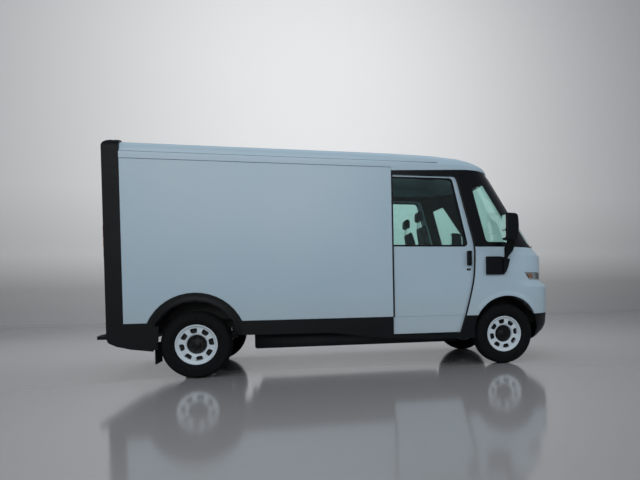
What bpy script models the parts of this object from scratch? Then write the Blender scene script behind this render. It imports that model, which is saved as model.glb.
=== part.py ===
"""Walk-in electric delivery van, built as an assembly of separate pieces.

Metres. +X is forward, +Y is the van's left side, +Z is up. The origin is on the ground,
at the middle of the overall length and width.
"""
import math

import bmesh
import bpy
from mathutils import Matrix, Vector

# ---------------------------------------------------------------- driving dimensions
WHEELBASE = 3.886
REAR_OVERHANG = 1.073          # rear axle to the back edge of the step
FRONT_OVERHANG = 0.887         # front axle to the nose
BODY_WIDTH = 2.10
ROOF_Z = 2.80                  # crown of the roof
GAP = 0.0003                   # between pieces that rest on each other
SHUT_LINE = 0.008              # visible gap round doors and glass

# Heights
ROOF_RISE = 0.226              # roof shell, side edge to crown
BELT_Z = 1.565                 # bottom of the glass band
PANEL_BOTTOM_Z = 0.668         # bottom of the white side panels
FLOOR_Z = 0.68                 # underside of the floor
FLOOR_THICKNESS = 0.06
SILL_Z = 0.437                 # top of the rocker under the side doors
STEP_WELL_Z = 0.40             # underside of the door's step well

# Wheels
TYRE_RADIUS = 0.3995
RIM_RADIUS = 0.239
RIM_WIDTH = 0.190
RIM_DISH = 0.095               # outer flange down to the hub face
WHEEL_INSET = 0.030            # body side to the rim's outer face
HAND_HOLES = 8
TURN_STEPS = 20

# Arches, measured from the axle
FRONT_ARCH_RADIUS = 0.468
FRONT_ARCH_SHIFT = 0.041
REAR_ARCH_RADIUS = 0.572       # edge of the white panel
REAR_FLARE_INNER_RADIUS = 0.484
ARCH_CENTRE_Z = 0.444

# Body walls
SKIN = 0.012                   # outer skin over the door pocket
POCKET_WIDTH = 0.060
INNER_SKIN = 0.012
SKIRT_PROUD = 0.005
SKIRT_THICKNESS = 0.020
SHELL = 0.030                  # fascia, bumper and cab frame
ROOF_SHELL = 0.028
GLASS = 0.006
DOOR_THICKNESS = 0.034
DOOR_TRAVEL = 0.96
REAR_DOOR_THICKNESS = 0.040
SURROUND_LENGTH = 0.180
SURROUND_WALL = 0.140

# Cab stations, measured from the front axle
CAB_SEAM = -1.513              # cargo panel to side door
DOOR_REAR = -1.640             # hidden inside the pocket
DASH_BOTTOM_Z = 1.10
SEAT_X = -0.800                # hinge line between cushion and back
SEAT_Y = 0.450
SEAT_Z = 1.260                 # top of the cushion
KINGPIN_Y = 0.820

# ---------------------------------------------------------------- derived places
LENGTH = REAR_OVERHANG + WHEELBASE + FRONT_OVERHANG
FRONT_AXLE_X = LENGTH / 2 - FRONT_OVERHANG
REAR_AXLE_X = FRONT_AXLE_X - WHEELBASE
HALF_WIDTH = BODY_WIDTH / 2
HEADER_Z = ROOF_Z - ROOF_RISE
SEAM_X = FRONT_AXLE_X + CAB_SEAM
SURROUND_FRONT_X = REAR_AXLE_X - 0.777
SURROUND_REAR_X = SURROUND_FRONT_X - SURROUND_LENGTH
FLOOR_TOP = FLOOR_Z + FLOOR_THICKNESS
POCKET_OUTER_Y = HALF_WIDTH - SKIN
POCKET_INNER_Y = POCKET_OUTER_Y - POCKET_WIDTH
WALL_INNER_Y = POCKET_INNER_Y - INNER_SKIN
DOOR_OUTER_Y = POCKET_OUTER_Y - 0.010
DOOR_INNER_Y = DOOR_OUTER_Y - DOOR_THICKNESS
RIM_FACE_Y = HALF_WIDTH - WHEEL_INSET
DOOR_TOP_Z = HEADER_Z - 0.100
RAIL_BOTTOM_Z = 0.560          # rear of the rails
FRONT_RAIL_BOTTOM_Z = 0.548
RAIL_Y = 0.420
RAIL_FRONT = 0.560             # front axle to the front end of the rails

# Plan shape of the nose: at each height, where the side starts to turn in (from the
# front axle) and how far the front lies behind the foremost point. Heights above the
# belt are shares of the glass band.
NOSE_POWER = 2.8
LOWER_NOSE = [
    (0.285, -0.043, 0.310), (0.330, -0.043, 0.195), (0.428, -0.043, 0.067), (0.505, -0.043, 0.023),
    (0.660, -0.043, 0.008), (1.025, -0.043, 0.000), (1.060, -0.050, 0.039), (1.111, -0.063, 0.113),
    (1.290, -0.093, 0.105), (1.451, -0.163, 0.099), (BELT_Z, -0.240, 0.209),
]
UPPER_NOSE = [(0.33, -0.443, 0.428), (0.50, -0.523, 0.568), (1.0, -0.700, 0.932)]
NOSE_COLUMNS = 18

# Wipers
WIPER_PIVOT_Y = {"right": -0.06, "left": 0.56}
WIPER_SWEEP = 0.52             # pivot to tip, across the van
WIPER_LIFT = 0.032             # blade over the pivot's seat
WIPER_Z = BELT_Z + 0.018
WIPER_SPINDLE = 0.008

WHITE = (0.78, 0.80, 0.82)
BLACK = (0.02, 0.022, 0.025)


# ---------------------------------------------------------------- helpers
def clear_scene():
    for obj in list(bpy.data.objects):
        bpy.data.objects.remove(obj, do_unlink=True)


def new_collection(name):
    coll = bpy.data.collections.new(name)
    bpy.context.scene.collection.children.link(coll)
    return coll


clear_scene()
VAN = new_collection("delivery_van")
CUTTERS = new_collection("cutters")


def paint(obj, colour, roughness=0.5, metallic=0.0, alpha=1.0):
    """Give the object its own material."""
    mat = bpy.data.materials.new(obj.name)
    mat.use_nodes = True
    shader = mat.node_tree.nodes["Principled BSDF"]
    shader.inputs["Base Color"].default_value = (*colour, 1.0)
    shader.inputs["Roughness"].default_value = roughness
    shader.inputs["Metallic"].default_value = metallic
    shader.inputs["Alpha"].default_value = alpha
    obj.data.materials.clear()
    obj.data.materials.append(mat)
    return obj


def mesh_object(name, bm, coll=None):
    mesh = bpy.data.meshes.new(name)
    bm.to_mesh(mesh)
    bm.free()
    obj = bpy.data.objects.new(name, mesh)
    (coll or VAN).objects.link(obj)
    return obj


def as_cutter(obj):
    """Keep a helper shape out of the model."""
    for coll in list(obj.users_collection):
        coll.objects.unlink(obj)
    CUTTERS.objects.link(obj)
    obj.hide_render = True
    obj.display_type = "WIRE"
    return obj


def combine(obj, other, operation):
    mod = obj.modifiers.new(operation.lower(), "BOOLEAN")
    mod.operation = operation
    mod.solver = "EXACT"
    mod.object = as_cutter(other)
    return obj


def join(obj, *others):
    for other in others:
        combine(obj, other, "UNION")
    return obj


def cut(obj, *others):
    for other in others:
        combine(obj, other, "DIFFERENCE")
    return obj


def keep(obj, other):
    return combine(obj, other, "INTERSECT")


def box(name, low, high):
    """Box between two corners."""
    bm = bmesh.new()
    size = [abs(b - a) for a, b in zip(low, high)]
    middle = [(a + b) / 2 for a, b in zip(low, high)]
    matrix = Matrix.Translation(middle) @ Matrix.Diagonal((*size, 1.0))
    bmesh.ops.create_cube(bm, size=1.0, matrix=matrix)
    return mesh_object(name, bm)


def rod(name, start, end, radius, sides=16, end_radius=None):
    """Round bar or cone between two points."""
    start, end = Vector(start), Vector(end)
    direction = end - start
    turn = direction.to_track_quat("Z", "Y").to_matrix().to_4x4()
    matrix = Matrix.Translation((start + end) / 2) @ turn
    bm = bmesh.new()
    bmesh.ops.create_cone(bm, cap_ends=True, segments=sides, radius1=radius,
                          radius2=radius if end_radius is None else end_radius,
                          depth=direction.length, matrix=matrix)
    return mesh_object(name, bm)


def flat_outline(name, outline, thickness):
    """Closed 2D outline, filled and thickened about its own plane, as a mesh."""
    curve = bpy.data.curves.new(name, "CURVE")
    curve.dimensions = "2D"
    curve.fill_mode = "BOTH"
    curve.extrude = thickness / 2
    spline = curve.splines.new("POLY")
    spline.points.add(len(outline) - 1)
    for point, (a, b) in zip(spline.points, outline):
        point.co = (a, b, 0.0, 1.0)
    spline.use_cyclic_u = True
    holder = bpy.data.objects.new(name, curve)
    VAN.objects.link(holder)
    bpy.context.view_layer.update()
    evaluated = holder.evaluated_get(bpy.context.evaluated_depsgraph_get())
    mesh = bpy.data.meshes.new_from_object(evaluated)
    bpy.data.objects.remove(holder, do_unlink=True)
    bm = bmesh.new()
    bm.from_mesh(mesh)
    bmesh.ops.remove_doubles(bm, verts=bm.verts, dist=1e-5)
    bmesh.ops.recalc_face_normals(bm, faces=bm.faces)
    return bm


def side_plate(name, outline, y_low, y_high):
    """Outline in X and Z, between two Y planes."""
    bm = flat_outline(name, outline, y_high - y_low)
    turn = Matrix.Rotation(math.pi / 2, 4, "X")
    bm.transform(Matrix.Translation((0, (y_low + y_high) / 2, 0)) @ turn)
    return mesh_object(name, bm)


def front_plate(name, outline, x_low, x_high):
    """Outline in Y and Z, between two X planes."""
    bm = flat_outline(name, outline, x_high - x_low)
    turn = Matrix(((0, 0, 1, 0), (1, 0, 0, 0), (0, 1, 0, 0), (0, 0, 0, 1)))
    bm.transform(Matrix.Translation(((x_low + x_high) / 2, 0, 0)) @ turn)
    return mesh_object(name, bm)


def arc(cx, cz, radius, start, end, count):
    """Points of an arc, angles in degrees from +X towards +Z."""
    angles = [math.radians(start + (end - start) * i / count) for i in range(count + 1)]
    return [(cx + radius * math.cos(a), cz + radius * math.sin(a)) for a in angles]


def chord_angle(cz, radius, z):
    """Angle at which a circle about height cz crosses the height z."""
    return math.degrees(math.asin((z - cz) / radius))


def turned(name, profile, closed):
    """Profile of (radius, height) turned about the object's Z axis."""
    bm = bmesh.new()
    verts = [bm.verts.new((r, 0.0, z)) for r, z in profile]
    for a, b in zip(verts, verts[1:]):
        bm.edges.new((a, b))
    if closed:
        bm.edges.new((verts[-1], verts[0]))
    obj = mesh_object(name, bm)
    mod = obj.modifiers.new("turn", "SCREW")
    mod.axis = "Z"
    mod.steps = TURN_STEPS
    mod.render_steps = TURN_STEPS
    mod.use_merge_vertices = True
    mod.merge_threshold = 0.0001
    return obj


def both_sides(maker):
    """Make the right piece (side -1) and the left piece (side +1)."""
    return [maker("right", -1), maker("left", 1)]


def span_y(side, inner, outer):
    """Low and high Y of a stretch on one side."""
    return sorted((side * inner, side * outer))


# ---------------------------------------------------------------- nose surface
def nose_rows():
    """Height, start of the turn and reach past that point, from the bottom up."""
    glass = HEADER_Z - BELT_Z
    rows = LOWER_NOSE + [(BELT_Z + share * glass, start, back) for share, start, back in UPPER_NOSE]
    return [(z, start, FRONT_OVERHANG - back - start) for z, start, back in rows]


def nose_section(z):
    """Where the side turns in and how far the nose reaches, at a height."""
    rows = nose_rows()
    if z <= rows[0][0]:
        return rows[0][1:]
    for (z0, s0, r0), (z1, s1, r1) in zip(rows, rows[1:]):
        if z <= z1:
            t = (z - z0) / (z1 - z0)
            return s0 + (s1 - s0) * t, r0 + (r1 - r0) * t
    return rows[-1][1:]


def nose_point(y, z):
    """Point of the nose surface at a width and a height."""
    start, reach = nose_section(z)
    share = (1 - (abs(y) / HALF_WIDTH) ** NOSE_POWER) ** (1 / NOSE_POWER)
    return Vector((FRONT_AXLE_X + start + reach * share, y, z))


def nose_outline(z, x_back, inset):
    """Plan outline at a height, from the right side round the nose to the left side."""
    start, reach = nose_section(z)
    x0 = FRONT_AXLE_X + start
    half, reach = HALF_WIDTH - inset, reach - inset
    power = 2 / NOSE_POWER
    points = [(x_back, -half, z)]
    for i in range(NOSE_COLUMNS + 1):
        angle = math.pi * (i / NOSE_COLUMNS - 0.5)
        x = x0 + reach * abs(math.cos(angle)) ** power if 0 < i < NOSE_COLUMNS else x0
        y = math.copysign(half * abs(math.sin(angle)) ** power, math.sin(angle))
        points.append((x, y, z))
    points.append((x_back, half, z))
    return points


def nose_band(name, z_low, z_high, x_back, inset, thickness):
    """Skin of the nose, thickened inwards and trimmed level at both heights."""
    over = 0.04
    heights = [z_low - over] + [z for z, _, _ in nose_rows() if z_low < z < z_high] + [z_high + over]
    bm = bmesh.new()
    rows = [[bm.verts.new(p) for p in nose_outline(z, x_back, inset)] for z in heights]
    for lower, upper in zip(rows, rows[1:]):
        for i in range(len(lower) - 1):
            bm.faces.new((lower[i], lower[i + 1], upper[i + 1], upper[i]))
    obj = mesh_object(name, bm)
    mod = obj.modifiers.new("wall", "SOLIDIFY")
    mod.thickness = thickness
    mod.offset = -1.0
    return keep(obj, box("between", (x_back - 1, -2, z_low), (x_back + 3, 2, z_high)))


# ---------------------------------------------------------------- outlines shared by pieces
def door_edge(grow=0.0):
    """Front edge of the side door, bottom to top, moved forward by grow."""
    f = FRONT_AXLE_X + grow
    return [(f - 0.619, SILL_Z + SHUT_LINE), (f - 0.544, 0.673), (f - 0.434, 1.101), (f - 0.417, 1.318),
            (f - 0.412, 1.574), (f - 0.474, 1.808), (f - 0.571, 2.142), (f - 0.640, DOOR_TOP_Z - 0.05),
            (f - 0.674, DOOR_TOP_Z)]


def door_outline(grow=0.0):
    rear = FRONT_AXLE_X + DOOR_REAR
    edge = door_edge(grow)
    edge[0] = (edge[0][0], edge[0][1] - grow)
    edge[-1] = (edge[-1][0], edge[-1][1] + grow)
    return [(rear, edge[0][1])] + edge + [(rear, edge[-1][1])]


def window_outline(shrink=0.0):
    """Glass opening of the side door."""
    f = FRONT_AXLE_X
    rear, low, high = f - 1.560 + shrink, BELT_Z + 0.010 + shrink, DOOR_TOP_Z - 0.030 - shrink
    corner = 0.05
    front_low = (f - 0.500 - shrink, low)
    front_high = (f - 0.715 - shrink, high)
    return [(rear + corner, low), (front_low[0] - corner, low), (front_low[0] - 0.012, low + 0.014),
            (front_low[0] - 0.006, low + corner), (front_high[0] + 0.010, high - corner),
            (front_high[0] - 0.006, high - 0.014), (front_high[0] - corner, high), (rear, high),
            (rear, low + corner), (rear + 0.015, low + 0.015)]


def quarter_outline(shrink=0.0):
    """Fixed glass ahead of the side door."""
    f = FRONT_AXLE_X
    return [(f - 0.255 + shrink, 1.620 + shrink), (f + 0.080 - shrink, 1.620 + shrink),
            (f + 0.060 - shrink, 1.900), (f - 0.276 - shrink * 0.5, 2.400 - shrink),
            (f - 0.445 + shrink, 2.330 - shrink)]


def rear_arch(radius, count=16):
    """Arch over the rear wheel from front to back, between the panel bottoms."""
    low = chord_angle(ARCH_CENTRE_Z, radius, PANEL_BOTTOM_Z)
    return arc(REAR_AXLE_X, ARCH_CENTRE_Z, radius, low, 180 - low, count)


# ---------------------------------------------------------------- running gear
def chassis_frame():
    """Two side rails, deep between the axles, with cross-members."""
    rear, front = SURROUND_FRONT_X + GAP, FRONT_AXLE_X + RAIL_FRONT
    top, deep = FLOOR_Z - GAP, 0.500
    low = FRONT_RAIL_BOTTOM_Z
    outline = [(rear, RAIL_BOTTOM_Z), (REAR_AXLE_X + 0.45, RAIL_BOTTOM_Z), (REAR_AXLE_X + 0.58, deep),
               (FRONT_AXLE_X - 0.55, deep), (FRONT_AXLE_X - 0.42, low), (front, low),
               (front, top), (rear, top)]
    frame = side_plate("chassis_frame", outline, RAIL_Y - 0.03, RAIL_Y + 0.03)
    for x in (rear + 0.05, REAR_AXLE_X + 0.35, REAR_AXLE_X + 1.3, FRONT_AXLE_X - 1.3, FRONT_AXLE_X - 0.5, front - 0.04):
        join(frame, box("cross", (x - 0.03, -RAIL_Y - 0.01, RAIL_BOTTOM_Z + 0.035), (x + 0.03, RAIL_Y + 0.01, top - 0.02)))
    join(frame, side_plate("rail", outline, -RAIL_Y - 0.03, -RAIL_Y + 0.03))
    return paint(frame, BLACK, 0.6, 0.3)


def battery_case():
    """Shallow tray under the rails."""
    case = box("battery_case", (REAR_AXLE_X + 0.64, -0.66, 0.290), (FRONT_AXLE_X - 0.57, 0.66, 0.500 - GAP))
    bevel = case.modifiers.new("edge", "BEVEL")
    bevel.width = 0.02
    bevel.segments = 1
    return paint(case, (0.08, 0.08, 0.09), 0.5, 0.4)


def rear_axle():
    """Beam with a leaf spring under each rail."""
    end = RIM_FACE_Y - RIM_DISH - 0.008 - GAP
    beam = rod("rear_axle", (REAR_AXLE_X, -end, TYRE_RADIUS), (REAR_AXLE_X, end, TYRE_RADIUS), 0.045)
    for side in (-1, 1):
        y0, y1 = span_y(side, RAIL_Y - 0.03, RAIL_Y + 0.03)
        low = TYRE_RADIUS + 0.030
        join(beam, box("leaf", (REAR_AXLE_X - 0.50, y0, low), (REAR_AXLE_X + 0.40, y1, low + 0.035)))
        for x, top in ((REAR_AXLE_X - 0.50, RAIL_BOTTOM_Z), (REAR_AXLE_X + 0.36, RAIL_BOTTOM_Z)):
            join(beam, box("shackle", (x, y0 + 0.01, low + 0.01), (x + 0.04, y1 - 0.01, top - GAP)))
    return paint(beam, BLACK, 0.5, 0.6)


def front_subframe():
    """Cradle under the rails with a lower arm to each knuckle."""
    x = FRONT_AXLE_X
    cradle = box("front_subframe", (x - 0.28, -0.45, 0.300), (x + 0.22, 0.45, 0.350))
    cut(cradle, box("window", (x - 0.20, -0.30, 0.25), (x + 0.14, 0.30, 0.40)))
    for side in (-1, 1):
        y0, y1 = span_y(side, 0.40, 0.45)
        for px in (x - 0.28, x + 0.17):
            join(cradle, box("post", (px, y0, 0.33), (px + 0.05, y1, FRONT_RAIL_BOTTOM_Z - GAP)))
        y0, y1 = span_y(side, 0.43, KINGPIN_Y + 0.02)
        join(cradle, box("arm", (x - 0.04, y0, 0.300), (x + 0.04, y1, 0.330)))
    return paint(cradle, BLACK, 0.5, 0.5)


def drive_unit():
    """Motor and gear case between the rails."""
    x = FRONT_AXLE_X
    case = rod("drive_unit", (x + 0.02, -0.30, 0.490), (x + 0.02, 0.30, 0.490), 0.125, 20)
    join(case, box("gears", (x - 0.16, -0.12, 0.372), (x + 0.12, 0.10, 0.600)))
    join(case, box("foot", (x - 0.25, -0.08, 0.350 + GAP), (x + 0.19, 0.06, 0.390)))
    return paint(case, (0.45, 0.46, 0.48), 0.4, 0.9)


def knuckle(word, side):
    """Upright that turns about the kingpin and carries the wheel."""
    x, end = FRONT_AXLE_X, RIM_FACE_Y - RIM_DISH - 0.008 - GAP
    y0, y1 = span_y(side, KINGPIN_Y - 0.035, KINGPIN_Y + 0.035)
    name = "knuckle_" + word
    upright = box(name, (x - 0.045, y0, 0.330 + GAP), (x + 0.045, y1, 0.520))
    join(upright, rod("spindle", (x, side * KINGPIN_Y, TYRE_RADIUS), (x, side * end, TYRE_RADIUS), 0.035))
    y0, y1 = span_y(side, KINGPIN_Y - 0.05, KINGPIN_Y)
    join(upright, box("steer_arm", (x - 0.16, y0, 0.40), (x, y1, 0.43)))
    return paint(upright, (0.2, 0.2, 0.21), 0.5, 0.8)


def rim(name):
    """Dished steel wheel, outer face at local Z = 0."""
    w = RIM_WIDTH
    r = RIM_RADIUS
    profile = [
        (0.0, -RIM_DISH), (0.110, -RIM_DISH), (0.117, -0.045), (0.130, -0.030), (0.195, -0.026), (0.220, -0.010),
        (0.229, 0.0), (r, 0.0), (r, -0.012), (r - 0.015, -0.013), (r - 0.034, -0.070), (r - 0.034, -0.120),
        (r - 0.015, -w + 0.013), (r, -w + 0.012), (r, -w), (r - 0.012, -w), (r - 0.042, -0.120),
        (r - 0.042, -0.060), (0.188, -0.036), (0.132, -0.040), (0.121, -RIM_DISH - 0.008), (0.0, -RIM_DISH - 0.008),
    ]
    wheel = turned(name, profile, closed=False)
    for i in range(HAND_HOLES):
        angle = 2 * math.pi * (i + 0.5) / HAND_HOLES
        radius = 0.160
        hole = rod("hand_hole", (radius * math.cos(angle), radius * math.sin(angle), 0.01),
                   (radius * math.cos(angle), radius * math.sin(angle), -0.052), 0.021, 6)
        hole.parent = wheel
        cut(wheel, hole)
    return paint(wheel, WHITE, 0.4, 0.0)


def tyre(name):
    """Tyre casing, open towards the rim; rim's outer face at local Z = 0."""
    w, big, small = RIM_WIDTH, TYRE_RADIUS, RIM_RADIUS
    half = [(small - 0.014, -0.0134), (small + 0.0005, -0.0124), (small + 0.023, 0.006), (0.325, 0.022),
            (0.380, 0.006), (big, -0.028)]
    inner = [(big - 0.015, -0.034), (0.325, 0.008), (small + 0.026, -0.008), (small - 0.0130, -0.030)]
    outside = half + [(r, -w - z) for r, z in reversed(half)]
    inside = [(r, -w - z) for r, z in reversed(inner)] + inner
    return paint(turned(name, outside + inside, closed=True), BLACK, 0.9)


def wheels():
    """Rim and tyre at each corner, outer faces outwards."""
    for end, x in (("front", FRONT_AXLE_X), ("rear", REAR_AXLE_X)):
        for word, side in (("right", -1), ("left", 1)):
            for maker, kind in ((rim, "rim"), (tyre, "tyre")):
                piece = maker("%s_%s_%s" % (kind, end, word))
                piece.location = (x, side * RIM_FACE_Y, TYRE_RADIUS)
                piece.rotation_euler = (-side * math.pi / 2, 0, 0)


# ---------------------------------------------------------------- floor and walls
def floor_pan():
    """Floor with a raised cargo deck, wheelhouses, step wells under the side doors and a firewall."""
    half = WALL_INNER_Y - GAP
    top = FLOOR_TOP
    front = FRONT_AXLE_X + 0.170
    pan = box("floor_pan", (SURROUND_FRONT_X + GAP, -half, FLOOR_Z), (front, half, top))
    well_rear, well_front, well_inner = SEAM_X + 0.06, FRONT_AXLE_X - 0.66, 0.70
    house_z, house_radius, sheet = TYRE_RADIUS + 0.03, 0.500, 0.012
    for side in (-1, 1):
        y0, y1 = span_y(side, well_inner, half + 0.01)
        cut(pan, box("well_hole", (well_rear, y0, 0.5), (well_front, y1, 0.9)))
        y0, y1 = span_y(side, well_inner - sheet, half - 0.002)
        tray = box("tray", (well_rear - sheet, y0, STEP_WELL_Z), (well_front + sheet, y1, top - 0.02))
        y0, y1 = span_y(side, well_inner, half + 0.02)
        cut(tray, box("tray_space", (well_rear, y0, STEP_WELL_Z + sheet), (well_front, y1, 1.0)))
        join(pan, tray)
        skirt_y = HALF_WIDTH + SKIRT_PROUD - SKIRT_THICKNESS
        for x, inner, outer in ((REAR_AXLE_X, 0.640, skirt_y - GAP), (FRONT_AXLE_X, 0.560, half - 0.03)):
            house = rod("house", (x, side * inner, house_z), (x, side * outer, house_z), house_radius, 22)
            y0, y1 = span_y(side, inner - 0.1, half + 0.1)
            cut(house, box("lower_half", (x - 1, y0, -0.2), (x + 1, y1, FLOOR_Z + 0.02)))
            join(pan, house)
            cut(pan, rod("house_space", (x, side * (inner + sheet), house_z), (x, side * (half + 0.10), house_z),
                         house_radius - sheet, 22))
    deck_front, deck_half, deck_rise = 0.290, 0.600, 0.006
    join(pan, box("deck", (SURROUND_FRONT_X + 0.04, -deck_half, top - 0.01), (deck_front, deck_half, top + deck_rise)))
    y_fire = 0.545
    join(pan, box("firewall", (front - 0.014, -y_fire, top - 0.01), (front - 0.002, y_fire, DASH_BOTTOM_Z - GAP)))
    return paint(pan, (0.25, 0.26, 0.27), 0.6, 0.4)


def cargo_wall(word, side):
    """Side wall with a slot at its front end that swallows the side door."""
    name = "cargo_wall_" + word
    rear, front = SURROUND_FRONT_X + GAP, SEAM_X
    arch = rear_arch(REAR_ARCH_RADIUS + GAP)
    outline = [(front, PANEL_BOTTOM_Z + GAP)] + [(x, z + GAP) for x, z in arch]
    outline += [(rear, PANEL_BOTTOM_Z + GAP), (rear, HEADER_Z - GAP), (front, HEADER_Z - GAP)]
    y0, y1 = span_y(side, WALL_INNER_Y, HALF_WIDTH)
    wall = side_plate(name, outline, y0, y1)
    y0, y1 = span_y(side, POCKET_INNER_Y, POCKET_OUTER_Y)
    slot_rear = FRONT_AXLE_X + DOOR_REAR - DOOR_TRAVEL - 0.02
    cut(wall, box("slot", (slot_rear, y0, 0.3), (front + 0.1, y1, DOOR_TOP_Z + 0.012)))
    return paint(wall, WHITE, 0.35)


def roof_stations():
    """Stations along the roof: position, half width, height of the shoulder over the header."""
    start, reach = nose_section(HEADER_Z)
    turn = FRONT_AXLE_X + start
    for x, height in ((SURROUND_FRONT_X + GAP, 1.0), (SEAM_X, 0.965), (turn - 0.23, 0.90)):
        yield x, HALF_WIDTH, height * ROOF_RISE
    for share, height in ((0.0, 0.81), (0.30, 0.65), (0.55, 0.48), (0.74, 0.34), (0.88, 0.20), (0.96, 0.10),
                          (0.992, 0.04)):
        half = HALF_WIDTH * (1 - share ** NOSE_POWER) ** (1 / NOSE_POWER)
        yield turn + share * reach, half, height * ROOF_RISE


def roof_shell():
    """Roof from the rear surround to over the windshield, hollow from below, with a stepped rail."""
    section = [(1.0, 0.0), (1.0, 0.33), (0.985, 0.35), (0.962, 0.68), (0.925, 0.86), (0.81, 0.95), (0.45, 0.99)]
    section += [(0.0, 1.0)] + [(-y, z) for y, z in reversed(section)]
    base = HEADER_Z + GAP
    bm = bmesh.new()
    rows = []
    for x, half, height in roof_stations():
        rows.append([bm.verts.new((x, y * half, base + z * height)) for y, z in section])
    for a, b in zip(rows, rows[1:]):
        for i in range(len(a)):
            k = (i + 1) % len(a)
            bm.faces.new((a[i], a[k], b[k], b[i]))
    bm.faces.new(list(reversed(rows[0])))
    bm.faces.new(rows[-1])
    roof = mesh_object("roof_shell", bm)
    half = HALF_WIDTH - ROOF_SHELL - 0.055
    hollow = [(SURROUND_FRONT_X - 0.1, HEADER_Z - 0.1), (FRONT_AXLE_X - 0.33, HEADER_Z - 0.1),
              (FRONT_AXLE_X - 0.60, HEADER_Z + ROOF_RISE * 0.50), (SURROUND_FRONT_X - 0.1, HEADER_Z + ROOF_RISE * 0.80)]
    cut(roof, side_plate("hollow", hollow, -half, half))
    return paint(roof, WHITE, 0.35)


def bulkhead():
    """Wall between cab and cargo space with a walk-through opening."""
    x = SEAM_X - 0.19
    half = WALL_INNER_Y - GAP
    wall = box("bulkhead", (x, -half, FLOOR_TOP + GAP), (x + 0.03, half, HEADER_Z - 0.03))
    cut(wall, box("doorway", (x - 0.1, -0.36, FLOOR_TOP - 0.1), (x + 0.2, 0.36, 2.36)))
    return paint(wall, (0.12, 0.125, 0.13), 0.6)


def bulkhead_door():
    """Sliding door on the cargo side of the bulkhead."""
    x = SEAM_X - 0.19 - GAP
    door = box("bulkhead_door", (x - 0.025, -0.40, FLOOR_TOP + 0.004), (x, 0.40, 2.40))
    return paint(door, (0.10, 0.105, 0.11), 0.55)


def rear_surround():
    """Portal round the rear doors, with its top sloping down to the back."""
    f, r, low = SURROUND_FRONT_X, SURROUND_REAR_X, 0.500
    crown = HEADER_Z + ROOF_RISE * 0.93
    arch_top = arc(r + 0.075, HEADER_Z + 0.085, 0.075, 180, 110, 4)
    outline = [(f, 0.392), (f, crown + 0.012)] + list(reversed(arch_top)) + [(r, low)]
    outline += [(r + 0.018, 0.454), (r + 0.105, 0.410)]
    ring = side_plate("rear_surround", outline, -HALF_WIDTH, HALF_WIDTH)
    half = HALF_WIDTH - SURROUND_WALL
    cut(ring, box("portal", (r - 0.1, -half, FLOOR_TOP), (f + 0.1, half, HEADER_Z + 0.02)))
    cut(ring, box("below", (r - 0.1, -half, 0.2), (f + 0.1, half, 0.54)))
    return paint(ring, BLACK, 0.45)


def rear_step():
    """Step slab behind the surround, on two arms under the beam."""
    r = SURROUND_REAR_X
    top = 0.534
    slab = box("rear_step", (-LENGTH / 2, -0.98, top - 0.042), (r - GAP, 0.98, top))
    half = HALF_WIDTH - SURROUND_WALL - 0.01
    for y in (-0.6, 0.6):
        join(slab, box("arm", (r - 0.05, y - 0.05, top - 0.029), (r + 0.15, y + 0.05, top)))
        join(slab, box("foot", (r + 0.05, y - 0.05, top - 0.019), (r + 0.15, y + 0.05, 0.54 - GAP)))
    cut(slab, box("ends", (r - 0.001, half - 0.2, 0.4), (r + 0.3, half + 0.3, 0.6)))
    return paint(slab, BLACK, 0.8)


def skirt(word, side):
    """Black lower side: rear quarter, arch flare, sill and rocker in one moulding."""
    f, a = FRONT_AXLE_X, REAR_AXLE_X
    top = PANEL_BOTTOM_Z
    rocker_top = SILL_Z - 0.004
    rear = SURROUND_FRONT_X + GAP
    outline = [(rear, top)] + list(reversed(rear_arch(REAR_ARCH_RADIUS)))
    outline += [(SEAM_X, top), (SEAM_X, rocker_top), (f - 0.623, rocker_top), (f - 0.535, top - 0.010)]
    low = chord_angle(ARCH_CENTRE_Z, FRONT_ARCH_RADIUS, top - 0.010)
    outline += arc(f + FRONT_ARCH_SHIFT, ARCH_CENTRE_Z, FRONT_ARCH_RADIUS, 180 - low, 190, 4)
    outline += [(f - 0.40, 0.366), (SEAM_X + 0.45, 0.366), (SEAM_X, 0.393), (SEAM_X - 0.29, 0.423),
                (SEAM_X - 0.60, 0.467), (SEAM_X - 0.80, 0.490), (a + 0.49, 0.500)]
    inner_low = chord_angle(ARCH_CENTRE_Z, REAR_FLARE_INNER_RADIUS, 0.500)
    outline += arc(a, ARCH_CENTRE_Z, REAR_FLARE_INNER_RADIUS, inner_low, 157, 16)
    outline += [(a - 0.400, 0.632), (a - 0.407, 0.465), (a - 0.467, 0.340), (a - 0.70, 0.372), (rear, 0.392)]
    y0, y1 = span_y(side, HALF_WIDTH - SKIRT_THICKNESS + SKIRT_PROUD, HALF_WIDTH + SKIRT_PROUD)
    moulding = side_plate("skirt_" + word, outline, y0, y1)
    y0, y1 = span_y(side, 0.88, HALF_WIDTH - 0.005)
    join(moulding, box("flap_bracket", (a - 0.46, y0, 0.36), (a - 0.415, y1, 0.44)))
    return paint(moulding, BLACK, 0.6)


def mudflap(word, side):
    """Rubber flap hung behind the rear tyre."""
    x = REAR_AXLE_X - 0.455
    y0, y1 = span_y(side, 0.70, HALF_WIDTH - 0.03)
    flap = box("mudflap_" + word, (x, y0, 0.185), (x + 0.010, y1, 0.36 - GAP))
    return paint(flap, BLACK, 0.85)


# ---------------------------------------------------------------- cab
def side_zone(name, outline, side=None, inner=0.5):
    """Prism through both sides of the cab, or through one side outwards of inner."""
    if side is None:
        return side_plate(name, outline, -2.0, 2.0)
    y0, y1 = span_y(side, inner, 2.0)
    return side_plate(name, outline, y0, y1)


def door_zone():
    """Everything behind the side doors' front shut line, below their top shut line."""
    edge = door_edge(SHUT_LINE)
    top = DOOR_TOP_Z + SHUT_LINE
    edge[-1] = (edge[-1][0], top)
    return [(SEAM_X - 0.5, 0.0), (edge[0][0], 0.0)] + edge + [(SEAM_X - 0.5, top)]


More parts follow.
